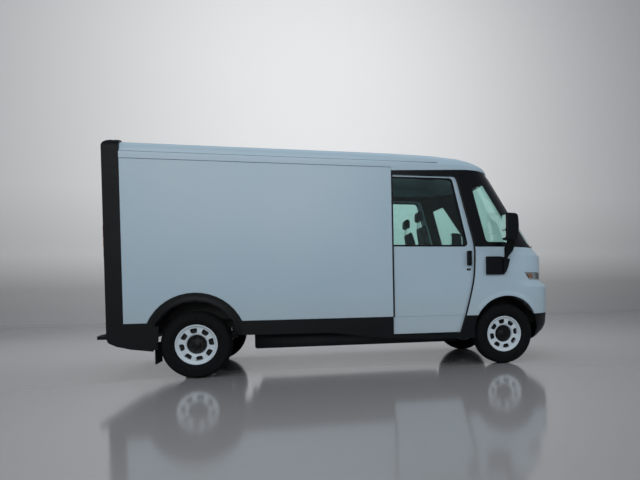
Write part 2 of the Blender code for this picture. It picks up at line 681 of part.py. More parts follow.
def screen_outline(shrink=0.0):
    """Windshield seen from the front."""
    low, high = BELT_Z + 0.030 + shrink, HEADER_Z - 0.045 - shrink
    wide, narrow = 0.90 - shrink, 0.80 - shrink
    return [(-wide, low), (wide, low), (narrow, high), (-narrow, high)]


def cab_frame():
    """Black frame of the glass band: headers, pillars and belt."""
    frame = nose_band("cab_frame", BELT_Z + GAP, HEADER_Z - GAP, SEAM_X + GAP, 0.0, SHELL)
    cut(frame, side_zone("doors", door_zone()), side_zone("quarters", quarter_outline()))
    cut(frame, front_plate("screen", screen_outline(), FRONT_AXLE_X - 0.30, FRONT_AXLE_X + 2))
    for word in WIPER_PIVOT_Y:
        pivot, _, normal = wiper_place(word)
        cut(frame, rod("spindle_hole", pivot - normal * (0.010 + GAP), pivot + normal * 0.03, WIPER_SPINDLE + GAP, 12))
    return paint(frame, BLACK, 0.3)


def glass_pane(name, zone, inset):
    """Pane cut from the same surface as the frame round it."""
    pane = nose_band(name, BELT_Z + 0.01, HEADER_Z - 0.01, FRONT_AXLE_X - 0.9, inset, GLASS)
    keep(pane, zone)
    return paint(pane, (0.55, 0.75, 0.70), 0.05, 0.0, 0.35)


def cab_glass():
    glass_pane("windshield", front_plate("screen_in", screen_outline(GAP), FRONT_AXLE_X - 0.3, FRONT_AXLE_X + 2), 0.004)
    for word, side in (("right", -1), ("left", 1)):
        glass_pane("quarter_glass_" + word, side_zone("quarter_in", quarter_outline(GAP), side), 0.004)


def front_arch_zone():
    centre = FRONT_AXLE_X + FRONT_ARCH_SHIFT
    return rod("arch", (centre, -2, ARCH_CENTRE_Z), (centre, 2, ARCH_CENTRE_Z), FRONT_ARCH_RADIUS, 40)


def headlamp_outline(shrink=0.0):
    f = FRONT_AXLE_X
    return [(f + 0.305 + shrink, 1.225 - shrink), (f + 0.385, 1.125 + shrink), (f + 1.2, 1.125 + shrink),
            (f + 1.2, 1.225 - shrink)]


def front_fascia():
    """White nose and fenders in one skin."""
    skin = nose_band("front_fascia", PANEL_BOTTOM_Z - 0.008, BELT_Z - GAP, FRONT_AXLE_X - 0.60, 0.0, SHELL)
    cut(skin, side_zone("doors", door_zone()), front_arch_zone())
    for side in (-1, 1):
        lamp = side_zone("lamp", headlamp_outline(), side)
        cut(skin, lamp)
    return paint(skin, WHITE, 0.35)


def headlamp(word, side):
    """Lamp that wraps the corner of the nose."""
    lamp = nose_band("headlamp_" + word, 1.05, 1.30, FRONT_AXLE_X, 0.002, SHELL - 0.004)
    keep(lamp, side_zone("lamp_in", headlamp_outline(GAP), side, 0.5 + GAP))
    return paint(lamp, (0.8, 0.8, 0.82), 0.1, 0.2)


def front_bumper():
    """Lower black bumper under the fascia."""
    bumper = nose_band("front_bumper", 0.285, PANEL_BOTTOM_Z - 0.008 - GAP, FRONT_AXLE_X + 0.20, 0.0, SHELL)
    cut(bumper, front_arch_zone())
    rail_end = FRONT_AXLE_X + RAIL_FRONT + GAP
    join(bumper, box("beam", (rail_end, -0.50, RAIL_BOTTOM_Z), (rail_end + 0.30, 0.50, PANEL_BOTTOM_Z - 0.03)))
    return paint(bumper, BLACK, 0.6)


def dashboard():
    """Instrument panel across the cab with the steering column's shroud."""
    f = FRONT_AXLE_X
    outline = [(f - 0.20, DASH_BOTTOM_Z), (f + 0.30, DASH_BOTTOM_Z), (f + 0.38, 1.30), (f + 0.38, 1.50), (f + 0.10, 1.52),
               (f - 0.16, 1.46), (f - 0.22, 1.30)]
    panel = side_plate("dashboard", outline, -0.86, 0.86)
    centre, axis = steering_place()
    join(panel, rod("column", centre + axis * (0.012 + GAP), centre + axis * 0.40, 0.045, 14))
    return paint(panel, (0.05, 0.052, 0.055), 0.7)


def steering_place():
    """Centre of the steering wheel and the direction of its column, down and forward."""
    centre = Vector((FRONT_AXLE_X - 0.42, SEAT_Y, 1.550))
    return centre, Vector((0.80, 0.0, -0.60)).normalized()


def steering_wheel():
    """Rim, hub and three spokes, turning about the column."""
    centre, axis = steering_place()
    bm = bmesh.new()
    sides, around, big, small = 6, 22, 0.200, 0.015
    rings = []
    for i in range(around):
        a = 2 * math.pi * i / around
        ring = []
        for j in range(sides):
            b = 2 * math.pi * j / sides
            radius = big + small * math.cos(b)
            ring.append(bm.verts.new((radius * math.cos(a), radius * math.sin(a), small * math.sin(b))))
        rings.append(ring)
    for i in range(around):
        for j in range(sides):
            k, m = (i + 1) % around, (j + 1) % sides
            bm.faces.new((rings[i][j], rings[k][j], rings[k][m], rings[i][m]))
    wheel = mesh_object("steering_wheel", bm)
    hub = rod("hub", (0, 0, -0.012), (0, 0, 0.022), 0.055, 14)
    hub.parent = wheel
    join(wheel, hub)
    for angle in (90, 210, 330):
        a = math.radians(angle)
        spoke = rod("spoke", (0.03 * math.cos(a), 0.03 * math.sin(a), 0.003),
                    (big * math.cos(a), big * math.sin(a), 0.0), 0.011, 8)
        spoke.parent = wheel
        join(wheel, spoke)
    wheel.location = centre
    wheel.rotation_euler = (-axis).to_track_quat("Z", "Y").to_euler()
    return paint(wheel, BLACK, 0.6)


def pedal(name, y, width, height):
    """Hanging pedal: a barrel under the dash, an arm and a pad."""
    x, barrel, low = FRONT_AXLE_X - 0.06, 0.010, 0.90
    top = DASH_BOTTOM_Z - GAP - barrel
    arm = rod(name, (x, y - 0.015, top), (x, y + 0.015, top), barrel, 12)
    join(arm, box("arm", (x - 0.007, y - 0.007, low), (x + 0.007, y + 0.007, top)))
    join(arm, box("pad", (x - 0.028, y - width / 2, low - height / 2), (x - 0.005, y + width / 2, low + height / 2)))
    return paint(arm, BLACK, 0.7)


def seat(word, side):
    """Pedestal, cushion and back of one seat."""
    x, y, z = FRONT_AXLE_X + SEAT_X, side * SEAT_Y, SEAT_Z
    base = box(word + "_seat_base", (x, y - 0.19, FLOOR_TOP + GAP), (x + 0.38, y + 0.19, z - 0.12 - GAP))
    cut(base, box("space", (x + 0.02, y - 0.15, FLOOR_TOP + 0.04), (x + 0.50, y + 0.15, z - 0.16)))
    join(base, box("post", (x - 0.10, y - 0.17, z - 0.20), (x + 0.01, y + 0.17, z - 0.13)))
    paint(base, BLACK, 0.6, 0.2)
    cushion = box(word + "_seat_cushion", (x + 0.004, y - 0.24, z - 0.12), (x + 0.48, y + 0.24, z))
    bevel = cushion.modifiers.new("round", "BEVEL")
    bevel.width = 0.025
    bevel.segments = 2
    paint(cushion, (0.06, 0.062, 0.066), 0.9)
    lean = 0.235
    low, high = z - 0.13 + GAP, z + 0.66
    outline = [(x - 0.115, low), (x - 0.004, low), (x - 0.004, z), (x - 0.004 - lean * 0.66, high),
               (x - 0.080 - lean * 0.66, high + 0.01), (x - 0.120 - lean * 0.15, z + 0.10)]
    back = side_plate(word + "_seat_back", outline, y - 0.24, y + 0.24)
    hx, hz = x - 0.05 - lean * 0.75, high + 0.10
    join(back, box("headrest", (hx - 0.05, y - 0.13, hz - 0.07), (hx + 0.05, y + 0.13, hz + 0.09)))
    for py in (-0.06, 0.06):
        join(back, box("bar", (hx - 0.008, y + py - 0.008, high - 0.05), (hx + 0.008, y + py + 0.008, hz)))
    return paint(back, (0.06, 0.062, 0.066), 0.9)


# ---------------------------------------------------------------- moving panels
def side_door(word, side):
    """Sliding door; its rear stile stays inside the wall pocket."""
    y0, y1 = span_y(side, DOOR_INNER_Y, DOOR_OUTER_Y)
    panel = side_plate("side_door_" + word, door_outline(), y0, y1)
    w0, w1 = span_y(side, DOOR_INNER_Y - 0.1, DOOR_OUTER_Y + 0.1)
    cut(panel, side_plate("window", window_outline(), w0, w1))
    rear = FRONT_AXLE_X + DOOR_REAR
    s0, s1 = span_y(side, DOOR_OUTER_Y - 0.004, POCKET_OUTER_Y - GAP)
    join(panel, box("wear_strip", (rear + 0.006, s0, 0.90), (rear + 0.050, s1, 2.30)))
    paint(panel, WHITE, 0.35)
    mid = (DOOR_INNER_Y + DOOR_OUTER_Y) / 2 + 0.006
    g0, g1 = span_y(side, mid - GLASS / 2, mid + GLASS / 2)
    pane = side_plate("side_door_glass_" + word, window_outline(GAP), g0, g1)
    paint(pane, (0.55, 0.75, 0.70), 0.05, 0.0, 0.35)
    x0, x1 = FRONT_AXLE_X - 0.512, FRONT_AXLE_X - 0.456
    h0, h1 = span_y(side, DOOR_OUTER_Y + GAP, DOOR_OUTER_Y + 0.040)
    pull = box("side_door_handle_" + word, (x0, h0, 1.318), (x1, h1, 1.512))
    f0, f1 = span_y(side, DOOR_OUTER_Y - 0.01, DOOR_OUTER_Y + 0.022)
    cut(pull, box("fingers", (x0 + 0.004, f0, 1.345), (x1 + 0.1, f1, 1.485)))
    paint(pull, BLACK, 0.4)
    return panel


def rear_door(word, side):
    """One of the pair of rear doors, on three barrels at its outer edge."""
    half = HALF_WIDTH - SURROUND_WALL - 0.006
    y0, y1 = span_y(side, 0.004, half)
    r, barrel = SURROUND_REAR_X, 0.008
    door = box("rear_door_" + word, (r, y0, FLOOR_TOP + 0.006), (r + REAR_DOOR_THICKNESS, y1, HEADER_Z + 0.014))
    for z in (0.95, 1.65, 2.35):
        x, y = r - barrel - GAP, side * (half + 0.008)
        join(door, rod("barrel", (x, y, z - 0.05), (x, y, z + 0.05), barrel, 12))
        y0, y1 = span_y(side, half - 0.05, half + 0.004)
        join(door, box("leaf", (x - 0.003, y0, z - 0.045), (x + 0.014, y1, z + 0.045)))
    return paint(door, WHITE, 0.35)


def rear_door_handle():
    """Latch lever on the right-hand rear door, turning about its boss."""
    r = SURROUND_REAR_X
    boss = rod("rear_door_handle", (r - GAP, -0.10, 1.20), (r - 0.035, -0.10, 1.20), 0.024, 14)
    join(boss, box("lever", (r - 0.040, -0.115, 1.02), (r - 0.018, -0.085, 1.21)))
    return paint(boss, BLACK, 0.4)


def mirror(word, side):
    """Base plate on the fender, and the folding arm with its tall housing."""
    f, barrel = FRONT_AXLE_X, 0.022
    hinge_x, hinge_y = f - 0.010, HALF_WIDTH + 0.055
    b0, b1 = span_y(side, HALF_WIDTH + GAP, hinge_y - barrel - GAP)
    outline = [(f - 0.263, 1.195), (f - 0.010, 1.195), (f + 0.040, 1.275), (f + 0.075, 1.400),
               (f - 0.052, 1.435), (f - 0.263, 1.435)]
    paint(side_plate("mirror_base_" + word, outline, b0, b1), BLACK, 0.5)
    hinge_y *= side
    arm = rod("mirror_arm_" + word, (hinge_x, hinge_y, 1.230), (hinge_x, hinge_y, 1.435), barrel, 16)
    reach = side * (HALF_WIDTH + 0.235)
    join(arm, rod("tube", (hinge_x, hinge_y, 1.415), (f + 0.045, reach, 1.640), 0.020, 10))
    h0, h1 = span_y(side, HALF_WIDTH + 0.115, HALF_WIDTH + 0.270)
    shell = [(f - 0.075, 1.700), (f - 0.050, 1.630), (f + 0.080, 1.620), (f + 0.110, 1.790), (f + 0.095, 1.965),
             (f + 0.070, 1.985), (f - 0.050, 1.985), (f - 0.075, 1.955)]
    join(arm, side_plate("housing", shell, h0, h1))
    return paint(arm, BLACK, 0.45)


def wiper_place(word):
    """Pivot on the belt, parked tip and axis, square to the plane the blade sweeps."""
    y = WIPER_PIVOT_Y[word]
    pivot = nose_point(y, WIPER_Z)
    tip = nose_point(y - WIPER_SWEEP, WIPER_Z + 0.012)
    rising = nose_point(y, WIPER_Z + 0.30) - pivot
    normal = rising.cross(tip - pivot).normalized()
    return pivot, tip, normal if normal.x > 0 else -normal


def wiper(word, _side):
    """Arm and blade parked along the bottom of the windshield."""
    pivot, tip, normal = wiper_place(word)
    lift = normal * WIPER_LIFT
    arm = rod("wiper_" + word, pivot + lift, tip + lift, 0.006, 8)
    join(arm, rod("spindle", pivot - normal * 0.010, pivot + lift + normal * 0.010, WIPER_SPINDLE, 12))
    return paint(arm, BLACK, 0.6)


def build():
    chassis_frame()
    battery_case()
    rear_axle()
    front_subframe()
    drive_unit()
    both_sides(knuckle)
    wheels()
    floor_pan()
    both_sides(cargo_wall)
    roof_shell()
    bulkhead()
    bulkhead_door()
    rear_surround()
    rear_step()
    both_sides(skirt)
    both_sides(mudflap)
    cab_frame()
    cab_glass()
    front_fascia()
    both_sides(headlamp)
    front_bumper()
    dashboard()
    steering_wheel()
    pedal("brake_pedal", SEAT_Y - 0.10, 0.07, 0.06)
    pedal("accelerator_pedal", SEAT_Y + 0.04, 0.045, 0.11)
    seat("driver", 1)
    seat("passenger", -1)
    both_sides(side_door)
    both_sides(rear_door)
    rear_door_handle()
    both_sides(mirror)
    both_sides(wiper)


build()
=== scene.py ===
"""Walk-in electric delivery truck: finished pieces and finishes over the fixed frame.

Metres. +X is forward, +Y is the truck's left, +Z is up; the origin is on the ground.
"""
import math

import bmesh
import bpy
import numpy as np
from bpy.props import FloatProperty, FloatVectorProperty, IntProperty, PointerProperty, StringProperty
from mathutils import Matrix, Vector


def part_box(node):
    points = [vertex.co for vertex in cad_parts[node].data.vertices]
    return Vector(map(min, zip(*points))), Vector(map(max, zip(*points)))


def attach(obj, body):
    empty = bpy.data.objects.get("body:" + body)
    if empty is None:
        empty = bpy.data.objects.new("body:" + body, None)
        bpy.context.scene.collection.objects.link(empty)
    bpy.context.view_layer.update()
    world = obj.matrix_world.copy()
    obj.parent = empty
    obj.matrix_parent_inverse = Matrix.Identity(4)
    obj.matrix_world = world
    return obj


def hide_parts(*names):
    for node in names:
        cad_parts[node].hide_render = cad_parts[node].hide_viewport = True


bl_info = {
    "name": "Delivery Truck Maker",
    "version": (1, 0, 0),
    "blender": (4, 5, 0),
    "location": "3D View > Sidebar > Truck",
    "description": "Builds the finished pieces of a walk-in delivery truck, group by group",
    "category": "Add Mesh",
}

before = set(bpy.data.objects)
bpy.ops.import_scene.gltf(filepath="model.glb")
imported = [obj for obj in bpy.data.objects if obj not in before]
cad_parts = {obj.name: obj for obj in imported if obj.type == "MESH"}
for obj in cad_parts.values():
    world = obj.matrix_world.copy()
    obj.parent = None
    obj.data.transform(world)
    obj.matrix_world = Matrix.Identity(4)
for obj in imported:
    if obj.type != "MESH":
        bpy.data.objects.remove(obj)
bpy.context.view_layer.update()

# Places every group shares, read from the frame where a node gives them
FRONT_AXLE_X = sum(c.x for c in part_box("rim_front_right")) / 2
REAR_AXLE_X = sum(c.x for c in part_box("rim_rear_right")) / 2
HALF_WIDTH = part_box("cargo_wall_left")[1].y
HEADER_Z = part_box("cargo_wall_left")[1].z
ROOF_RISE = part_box("roof_shell")[1].z - HEADER_Z
SEAM_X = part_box("cargo_wall_left")[1].x
PANEL_BOTTOM_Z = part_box("cargo_wall_left")[0].z
WALL_REAR_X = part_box("cargo_wall_left")[0].x
SURROUND_REAR_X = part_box("rear_surround")[0].x
NOSE_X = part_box("front_fascia")[1].x
BELT_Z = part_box("cab_frame")[0].z
TYRE_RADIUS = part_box("tyre_rear_right")[1].z / 2
RIM_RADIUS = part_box("rim_rear_right")[1].z - TYRE_RADIUS
RIM_FACE_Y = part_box("rim_rear_left")[1].y
RIM_WIDTH = RIM_FACE_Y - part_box("rim_rear_left")[0].y
DOOR_OUTER_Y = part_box("side_door_handle_left")[0].y
DOOR_INNER_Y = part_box("side_door_left")[0].y
DOOR_TOP_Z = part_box("side_door_left")[1].z
ARCH_CENTRE_Z = 0.444
FRONT_ARCH_X = FRONT_AXLE_X + 0.041
GAP = 0.0003
SIDES = (("right", -1), ("left", 1))
HEADER_DROP = 0.042              # the roof's edge over the cab, below the header
DROP_END_X = FRONT_AXLE_X - 0.42
LUG_NUTS = 8
FRONT_ARCH_RADIUS = 0.468
LENS_MM = 30.38625
SENSOR_MM = 36

# Nose: height, start of the corner's turn behind the axle, setback behind the foremost point
NOSE_POWER = 2.8
NOSE_OVERHANG = NOSE_X - FRONT_AXLE_X
NOSE_ROWS = np.array([
    (0.285, -0.043, 0.310), (0.330, -0.043, 0.195), (0.428, -0.043, 0.067), (0.505, -0.043, 0.023),
    (0.660, -0.043, 0.008), (1.025, -0.043, 0.000), (1.060, -0.050, 0.039), (1.111, -0.063, 0.113),
    (1.290, -0.093, 0.105), (1.451, -0.163, 0.099), (1.565, -0.240, 0.209), (1.898, -0.443, 0.428),
    (2.070, -0.523, 0.568), (2.574, -0.700, 0.932),
])


# ---------------------------------------------------------------- settings
class TruckSettings(bpy.types.PropertyGroup):
    """Sizes and colours a user would change."""

    body_colour: StringProperty(name="Body colour", description="Enamel of the body, sRGB hex",
                                default="#A5BDCC")
    trim_colour: StringProperty(name="Trim colour", description="Moulded plastic trim, sRGB hex",
                                default="#05090D")
    wheel_colour: StringProperty(name="Wheel colour", description="Steel wheel enamel, sRGB hex",
                                 default="#CBD8E1")
    glass_tint: StringProperty(name="Glass tint", description="Tint of the panes, sRGB hex",
                               default="#D3F0EB")
    edge_radius: FloatProperty(name="Edge radius", description="Round on folded sheet edges", default=0.006,
                               min=0.001, max=0.02, unit="LENGTH")
    hand_holes: IntProperty(name="Hand holes", description="Openings in each steel wheel", default=8, min=4,
                            max=12)
    lamp_height: FloatProperty(name="Tail lamp height", description="Middle of the upright tail lamps",
                               default=1.62,
                               min=1.0, max=2.2, unit="LENGTH")
    camera_place: FloatVectorProperty(name="Camera place", description="Where the camera stands", size=3,
                                      default=(-0.673, -7.846, 1.0), unit="LENGTH", subtype="XYZ")


# ---------------------------------------------------------------- shapes
def linear(code):
    """sRGB hex to linear: below 0.04045 divide by 12.92, above it ((c + 0.055) / 1.055) to the power 2.4."""
    c = np.array([int(code[i:i + 2], 16) for i in (1, 3, 5)]) / 255
    return (*np.where(c <= 0.04045, c / 12.92, ((c + 0.055) / 1.055) ** 2.4).tolist(), 1.0)


def mesh_object(name, points, faces, uv=None):
    """Mesh from points and faces, doubles merged, faces turned outwards."""
    mesh = bpy.data.meshes.new(name)
    mesh.from_pydata(np.asarray(points, float).reshape(-1, 3).tolist(), [], faces)
    if uv is not None:
        layer = mesh.uv_layers.new(name="UVMap")
        index = np.empty(len(mesh.loops), int)
        mesh.loops.foreach_get("vertex_index", index)
        layer.data.foreach_set("uv", uv.reshape(-1, 2)[index].astype(np.float32).ravel())
    bm = bmesh.new()
    bm.from_mesh(mesh)
    bmesh.ops.remove_doubles(bm, verts=bm.verts, dist=2e-5)
    bmesh.ops.recalc_face_normals(bm, faces=bm.faces)
    bm.to_mesh(mesh)
    bm.free()
    obj = bpy.data.objects.new(name, mesh)
    bpy.context.scene.collection.objects.link(obj)
    return obj


def grid(name, points, wrap_u=False, wrap_v=False, cap_u=False, cap_v=False):
    """Surface of two parameters: points[u, v] joined to its neighbours, with flat caps where asked."""
    m, n = points.shape[:2]
    index = np.arange(m * n).reshape(m, n)
    a = index if wrap_u else index[:-1]
    b = np.roll(index, -1, 0) if wrap_u else index[1:]
    ca, cb = (a, b) if wrap_v else (a[:, :-1], b[:, :-1])
    da, db = (np.roll(a, -1, 1), np.roll(b, -1, 1)) if wrap_v else (a[:, 1:], b[:, 1:])
    faces = np.stack([ca, cb, db, da], -1).reshape(-1, 4).tolist()
    if cap_u:
        faces += [index[0].tolist(), index[-1].tolist()]
    if cap_v:
        faces += [index[:, 0].tolist(), index[:, -1].tolist()]
    uv = np.stack(np.meshgrid(np.linspace(0, 1, m), np.linspace(0, 1, n), indexing="ij"), -1)
    return mesh_object(name, points, faces, uv)


def prism(name, outline, low, high, axis="Y"):
    """Closed outline carried straight along an axis from low to high."""
    ring = np.asarray(outline, float)
    plan = {"Y": (0, 2, 1), "X": (1, 2, 0), "Z": (0, 1, 2)}[axis]
    both = np.empty((2, len(ring), 3))
    both[..., plan[0]], both[..., plan[1]] = ring[:, 0], ring[:, 1]
    both[..., plan[2]] = np.array([[low], [high]])
    return grid(name, both, wrap_v=True, cap_u=True)


def block(name, low, high):
    """Box between two corners."""
    (x0, y0, z0), (x1, y1, z1) = low, high
    return prism(name, [(x0, z0), (x1, z0), (x1, z1), (x0, z1)], y0, y1)


def rounded(outline, radius, steps=5):
    """Each corner of a closed outline swapped for the parabola with (edge, corner, edge) control points."""
    p = np.asarray(outline, float)
    back, ahead = np.roll(p, 1, 0) - p, np.roll(p, -1, 0) - p
    lb, la = np.linalg.norm(back, axis=1), np.linalg.norm(ahead, axis=1)
    reach = np.minimum(np.broadcast_to(radius, len(p)), 0.45 * np.minimum(lb, la))[:, None]
    start, end = p + back / lb[:, None] * reach, p + ahead / la[:, None] * reach
    t = np.linspace(0, 1, steps + 1)[None, :, None]
    curve = (1 - t) ** 2 * start[:, None] + 2 * t * (1 - t) * p[:, None] + t ** 2 * end[:, None]
    return curve.reshape(-1, 2)


def arc(cx, cz, radius, start, end, count):
    """Points of an arc, angles in degrees from +X towards +Z."""
    a = np.radians(np.linspace(start, end, count + 1))
    return np.stack([cx + radius * np.cos(a), cz + radius * np.sin(a)], 1)


def revolved(name, profile, centre, side, steps=96, closed=True):
    """Profile of (radius, height) turned about the Y axis through centre; height runs outwards."""
    r, h = np.asarray(profile, float).T
    a = np.linspace(0, 2 * np.pi, steps, endpoint=False)[:, None]
    points = np.stack([centre[0] + r * np.cos(a), centre[1] + side * (h + 0 * a),
                       centre[2] + r * np.sin(a)], -1)
    return grid(name, points, wrap_u=True, wrap_v=closed)


def tube(name, path, radius, sides=16, up=(0, 0, 1), closed=False):
    """Circle of the given radius carried along a path, square to its tangent."""
    p = np.asarray(path, float)
    ahead = (np.roll(p, -1, 0) - np.roll(p, 1, 0)) if closed else np.gradient(p, axis=0)
    ahead /= np.linalg.norm(ahead, axis=1, keepdims=True)
    right = np.cross(ahead, np.asarray(up, float))
    right /= np.linalg.norm(right, axis=1, keepdims=True)
    over = np.cross(right, ahead)
    a = np.linspace(0, 2 * np.pi, sides, endpoint=False)
    radius = np.broadcast_to(radius, len(p))[:, None, None]
    ring = np.cos(a)[None, :, None] * right[:, None] + np.sin(a)[None, :, None] * over[:, None]
    return grid(name, p[:, None] + radius * ring, wrap_u=closed, wrap_v=True, cap_u=not closed)


def smooth_path(points, count=40):
    """Chaikin corner cutting three times, then evenly spaced points by arc length."""
    p = np.asarray(points, float)
    for _ in range(3):
        q = np.empty((2 * len(p) - 2, p.shape[1]))
        q[0::2], q[1::2] = 0.75 * p[:-1] + 0.25 * p[1:], 0.25 * p[:-1] + 0.75 * p[1:]
        p = np.vstack([p[:1], q, p[-1:]])
    s = np.r_[0, np.cumsum(np.linalg.norm(np.diff(p, axis=0), axis=1))]
    t = np.linspace(0, s[-1], count)
    return np.stack([np.interp(t, s, p[:, i]) for i in range(p.shape[1])], 1)


def nose_rows(z):
    """Start and reach of the nose at each height: the rows averaged over 14 mm, so its creases are soft."""
    z = np.asarray(z, float)[..., None] + np.linspace(-0.007, 0.007, 9)
    start = np.interp(z, NOSE_ROWS[:, 0], NOSE_ROWS[:, 1]).mean(-1)
    back = np.interp(z, NOSE_ROWS[:, 0], NOSE_ROWS[:, 2]).mean(-1)
    return start, NOSE_OVERHANG - back - start


def nose_side_y(x, z, inset=0.0):
    """Half width of the nose at x: 1 minus the power of the share of the reach, all to one over the power."""
    start, reach = nose_rows(z)
    share = np.clip((x - FRONT_AXLE_X - start) / (reach - inset), 0, 1)
    return (HALF_WIDTH - inset) * (1 - share ** NOSE_POWER) ** (1 / NOSE_POWER)


def nose_front_x(y, z, inset=0.0):
    """How far forward the nose is at a width, by the same power curve."""
    start, reach = nose_rows(z)
    share = np.clip(np.abs(y) / (HALF_WIDTH - inset), 0, 1)
    return FRONT_AXLE_X + start + (reach - inset) * (1 - share ** NOSE_POWER) ** (1 / NOSE_POWER)


def nose_grid(z, x_back, inset, columns=110):
    """Level outlines of the nose, one per height, each with its points evenly spaced along its length."""
    start, reach = nose_rows(z)
    a = np.linspace(-np.pi / 2, np.pi / 2, 1200)
    power = 2 / NOSE_POWER
    x = FRONT_AXLE_X + start[:, None] + (reach - inset)[:, None] * np.abs(np.cos(a)) ** power
    y = np.broadcast_to((HALF_WIDTH - inset) * np.sign(np.sin(a)) * np.abs(np.sin(a)) ** power, x.shape)
    ends = np.full((len(z), 1), x_back)
    x, y = np.hstack([ends, x, ends]), np.hstack([y[:, :1], y, y[:, -1:]])
    s = np.hstack([np.zeros((len(z), 1)), np.cumsum(np.hypot(np.diff(x), np.diff(y)), 1)])
    share = np.linspace(0, 1, columns)
    rows = [np.stack([np.interp(share * si[-1], si, xi), np.interp(share * si[-1], si, yi),
                      np.full(columns, zi)], 1) for si, xi, yi, zi in zip(s, x, y, z)]
    return np.array(rows)


def nose_shell(name, z_low, z_high, x_back, inset, thickness, columns=110, step=0.02):
    """Closed wall of the nose between two heights: outer skin, inner skin and the rims that join them."""
    z = np.linspace(z_low, z_high, max(3, int((z_high - z_low) / step)))
    outer = nose_grid(z, x_back, inset, columns)
    inner = nose_grid(z, x_back, inset + thickness, columns)
    ring = np.concatenate([outer, inner[::-1]], 0)
    return grid(name, ring, wrap_u=True, cap_v=True)


# ---------------------------------------------------------------- finishing
def bake(obj):
    """Put the modifiers' result into the mesh."""
    done = bpy.data.meshes.new_from_object(obj.evaluated_get(bpy.context.evaluated_depsgraph_get()))
    obj.modifiers.clear()
    obj.data = done
    return obj


def carve(obj, *others, operation="DIFFERENCE"):
    """Exact Boolean with each helper in turn; the helpers are removed."""
    for other in others:
        mod = obj.modifiers.new("carve", "BOOLEAN")
        mod.operation, mod.solver, mod.object = operation, "EXACT", other
    bake(obj)
    for other in others:
        bpy.data.objects.remove(other, do_unlink=True)
    return obj


def soften(obj, width, segments=2, angle=35.0):
    """Round the sharp edges and shade the rest smooth."""
    if width:
        bm = bmesh.new()
        bm.from_mesh(obj.data)
        bmesh.ops.dissolve_limit(bm, angle_limit=math.radians(0.6), verts=bm.verts, edges=bm.edges)
        bm.to_mesh(obj.data)
        bm.free()
        mod = obj.modifiers.new("edge", "BEVEL")
        mod.width, mod.segments, mod.limit_method = width, segments, "ANGLE"
        mod.angle_limit, mod.use_clamp_overlap, mod.harden_normals = math.radians(angle), True, False
        mod.miter_outer = "MITER_ARC"
        bake(obj)
    obj.data.shade_smooth()
    obj.data.set_sharp_from_angle(angle=math.radians(angle))
    if width:
        mod = obj.modifiers.new("flat faces", "WEIGHTED_NORMAL")
        mod.keep_sharp = True
        bake(obj)
    return obj


def fit(obj, body, material, stands_for=()):
    """Give a finished piece its material, its body and the nodes it stands for."""
    obj.data.materials.clear()
    obj.data.materials.append(material)
    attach(obj, body)
    if stands_for:
        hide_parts(*([stands_for] if isinstance(stands_for, str) else stands_for))
    return obj


def node_copy(node, name, width, segments=2):
    """Merged copy of a node's mesh with its edges rounded."""
    obj = bpy.data.objects.new(name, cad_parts[node].data.copy())
    bpy.context.scene.collection.objects.link(obj)
    bm = bmesh.new()
    bm.from_mesh(obj.data)
    bmesh.ops.remove_doubles(bm, verts=bm.verts, dist=2e-5)
    bm.to_mesh(obj.data)
    bm.free()
    return soften(obj, width, segments)


def mirrored(side, low, high):
    """Low and high Y of a stretch on one side."""
    return sorted((side * low, side * high))


# ---------------------------------------------------------------- materials
def add(tree, kind, settings=None, **links):
    """Add a node, set its inputs or properties by name, and link its inputs from (node, output) pairs."""
    node = tree.nodes.new("ShaderNode" + kind)
    for key, value in (settings or {}).items():
        if key in node.inputs:
            node.inputs[key].default_value = value
        else:
            setattr(node, key, value)
    for key, (source, output) in links.items():
        tree.links.new(source.outputs[output],
                       node.inputs[key.replace("_", " ") if key not in node.inputs else key])
    return node


def finish_of(name, settings):
    """New material with its Principled shader's own sockets set."""
    mat = bpy.data.materials.new(name)
    mat.use_nodes = True
    shader = mat.node_tree.nodes["Principled BSDF"]
    for key, value in settings.items():
        shader.inputs[key].default_value = value
    return mat, mat.node_tree, shader


def ramp(tree, source, output, stops):
    """Colour ramp through (place, colour) stops."""
    node = add(tree, "ValToRGB", Fac=(source, output))
    band = node.color_ramp
    band.elements[0].position, band.elements[0].color = stops[0]
    band.elements[1].position, band.elements[1].color = stops[-1]
    for place, colour in stops[1:-1]:
        band.elements.new(place).color = colour
    return node


def grained(name, colour, other, roughness, grain_mm, bump_mm, spread=0.08, extra=None):
    """Two close colours in soft clouds, wandering roughness, and a bump of grain in millimetres."""
    mat, tree, shader = finish_of(name, {"Roughness": roughness, **(extra or {})})
    place = add(tree, "TexCoord")
    cloud = add(tree, "TexNoise", {"Scale": 1.7, "Detail": 5.0, "Roughness": 0.6}, Vector=(place, "Object"))
    tint = ramp(tree, cloud, "Fac", [(0.30, linear(colour)), (0.70, linear(other))])
    tree.links.new(tint.outputs["Color"], shader.inputs["Base Color"])
    wander = add(tree, "TexNoise", {"Scale": 9.0, "Detail": 6.0}, Vector=(place, "Object"))
    rough = add(tree, "MapRange", {"To Min": roughness - spread, "To Max": roughness + spread},
                Value=(wander, "Fac"))
    tree.links.new(rough.outputs["Result"], shader.inputs["Roughness"])
    if bump_mm:
        grain = add(tree, "TexNoise", {"Scale": 1000.0 / grain_mm / 2, "Detail": 2.0},
                    Vector=(place, "Object"))
        bump = add(tree, "Bump", {"Strength": 0.5, "Distance": bump_mm / 1000}, Height=(grain, "Fac"))
        tree.links.new(bump.outputs["Normal"], shader.inputs["Normal"])
    return mat


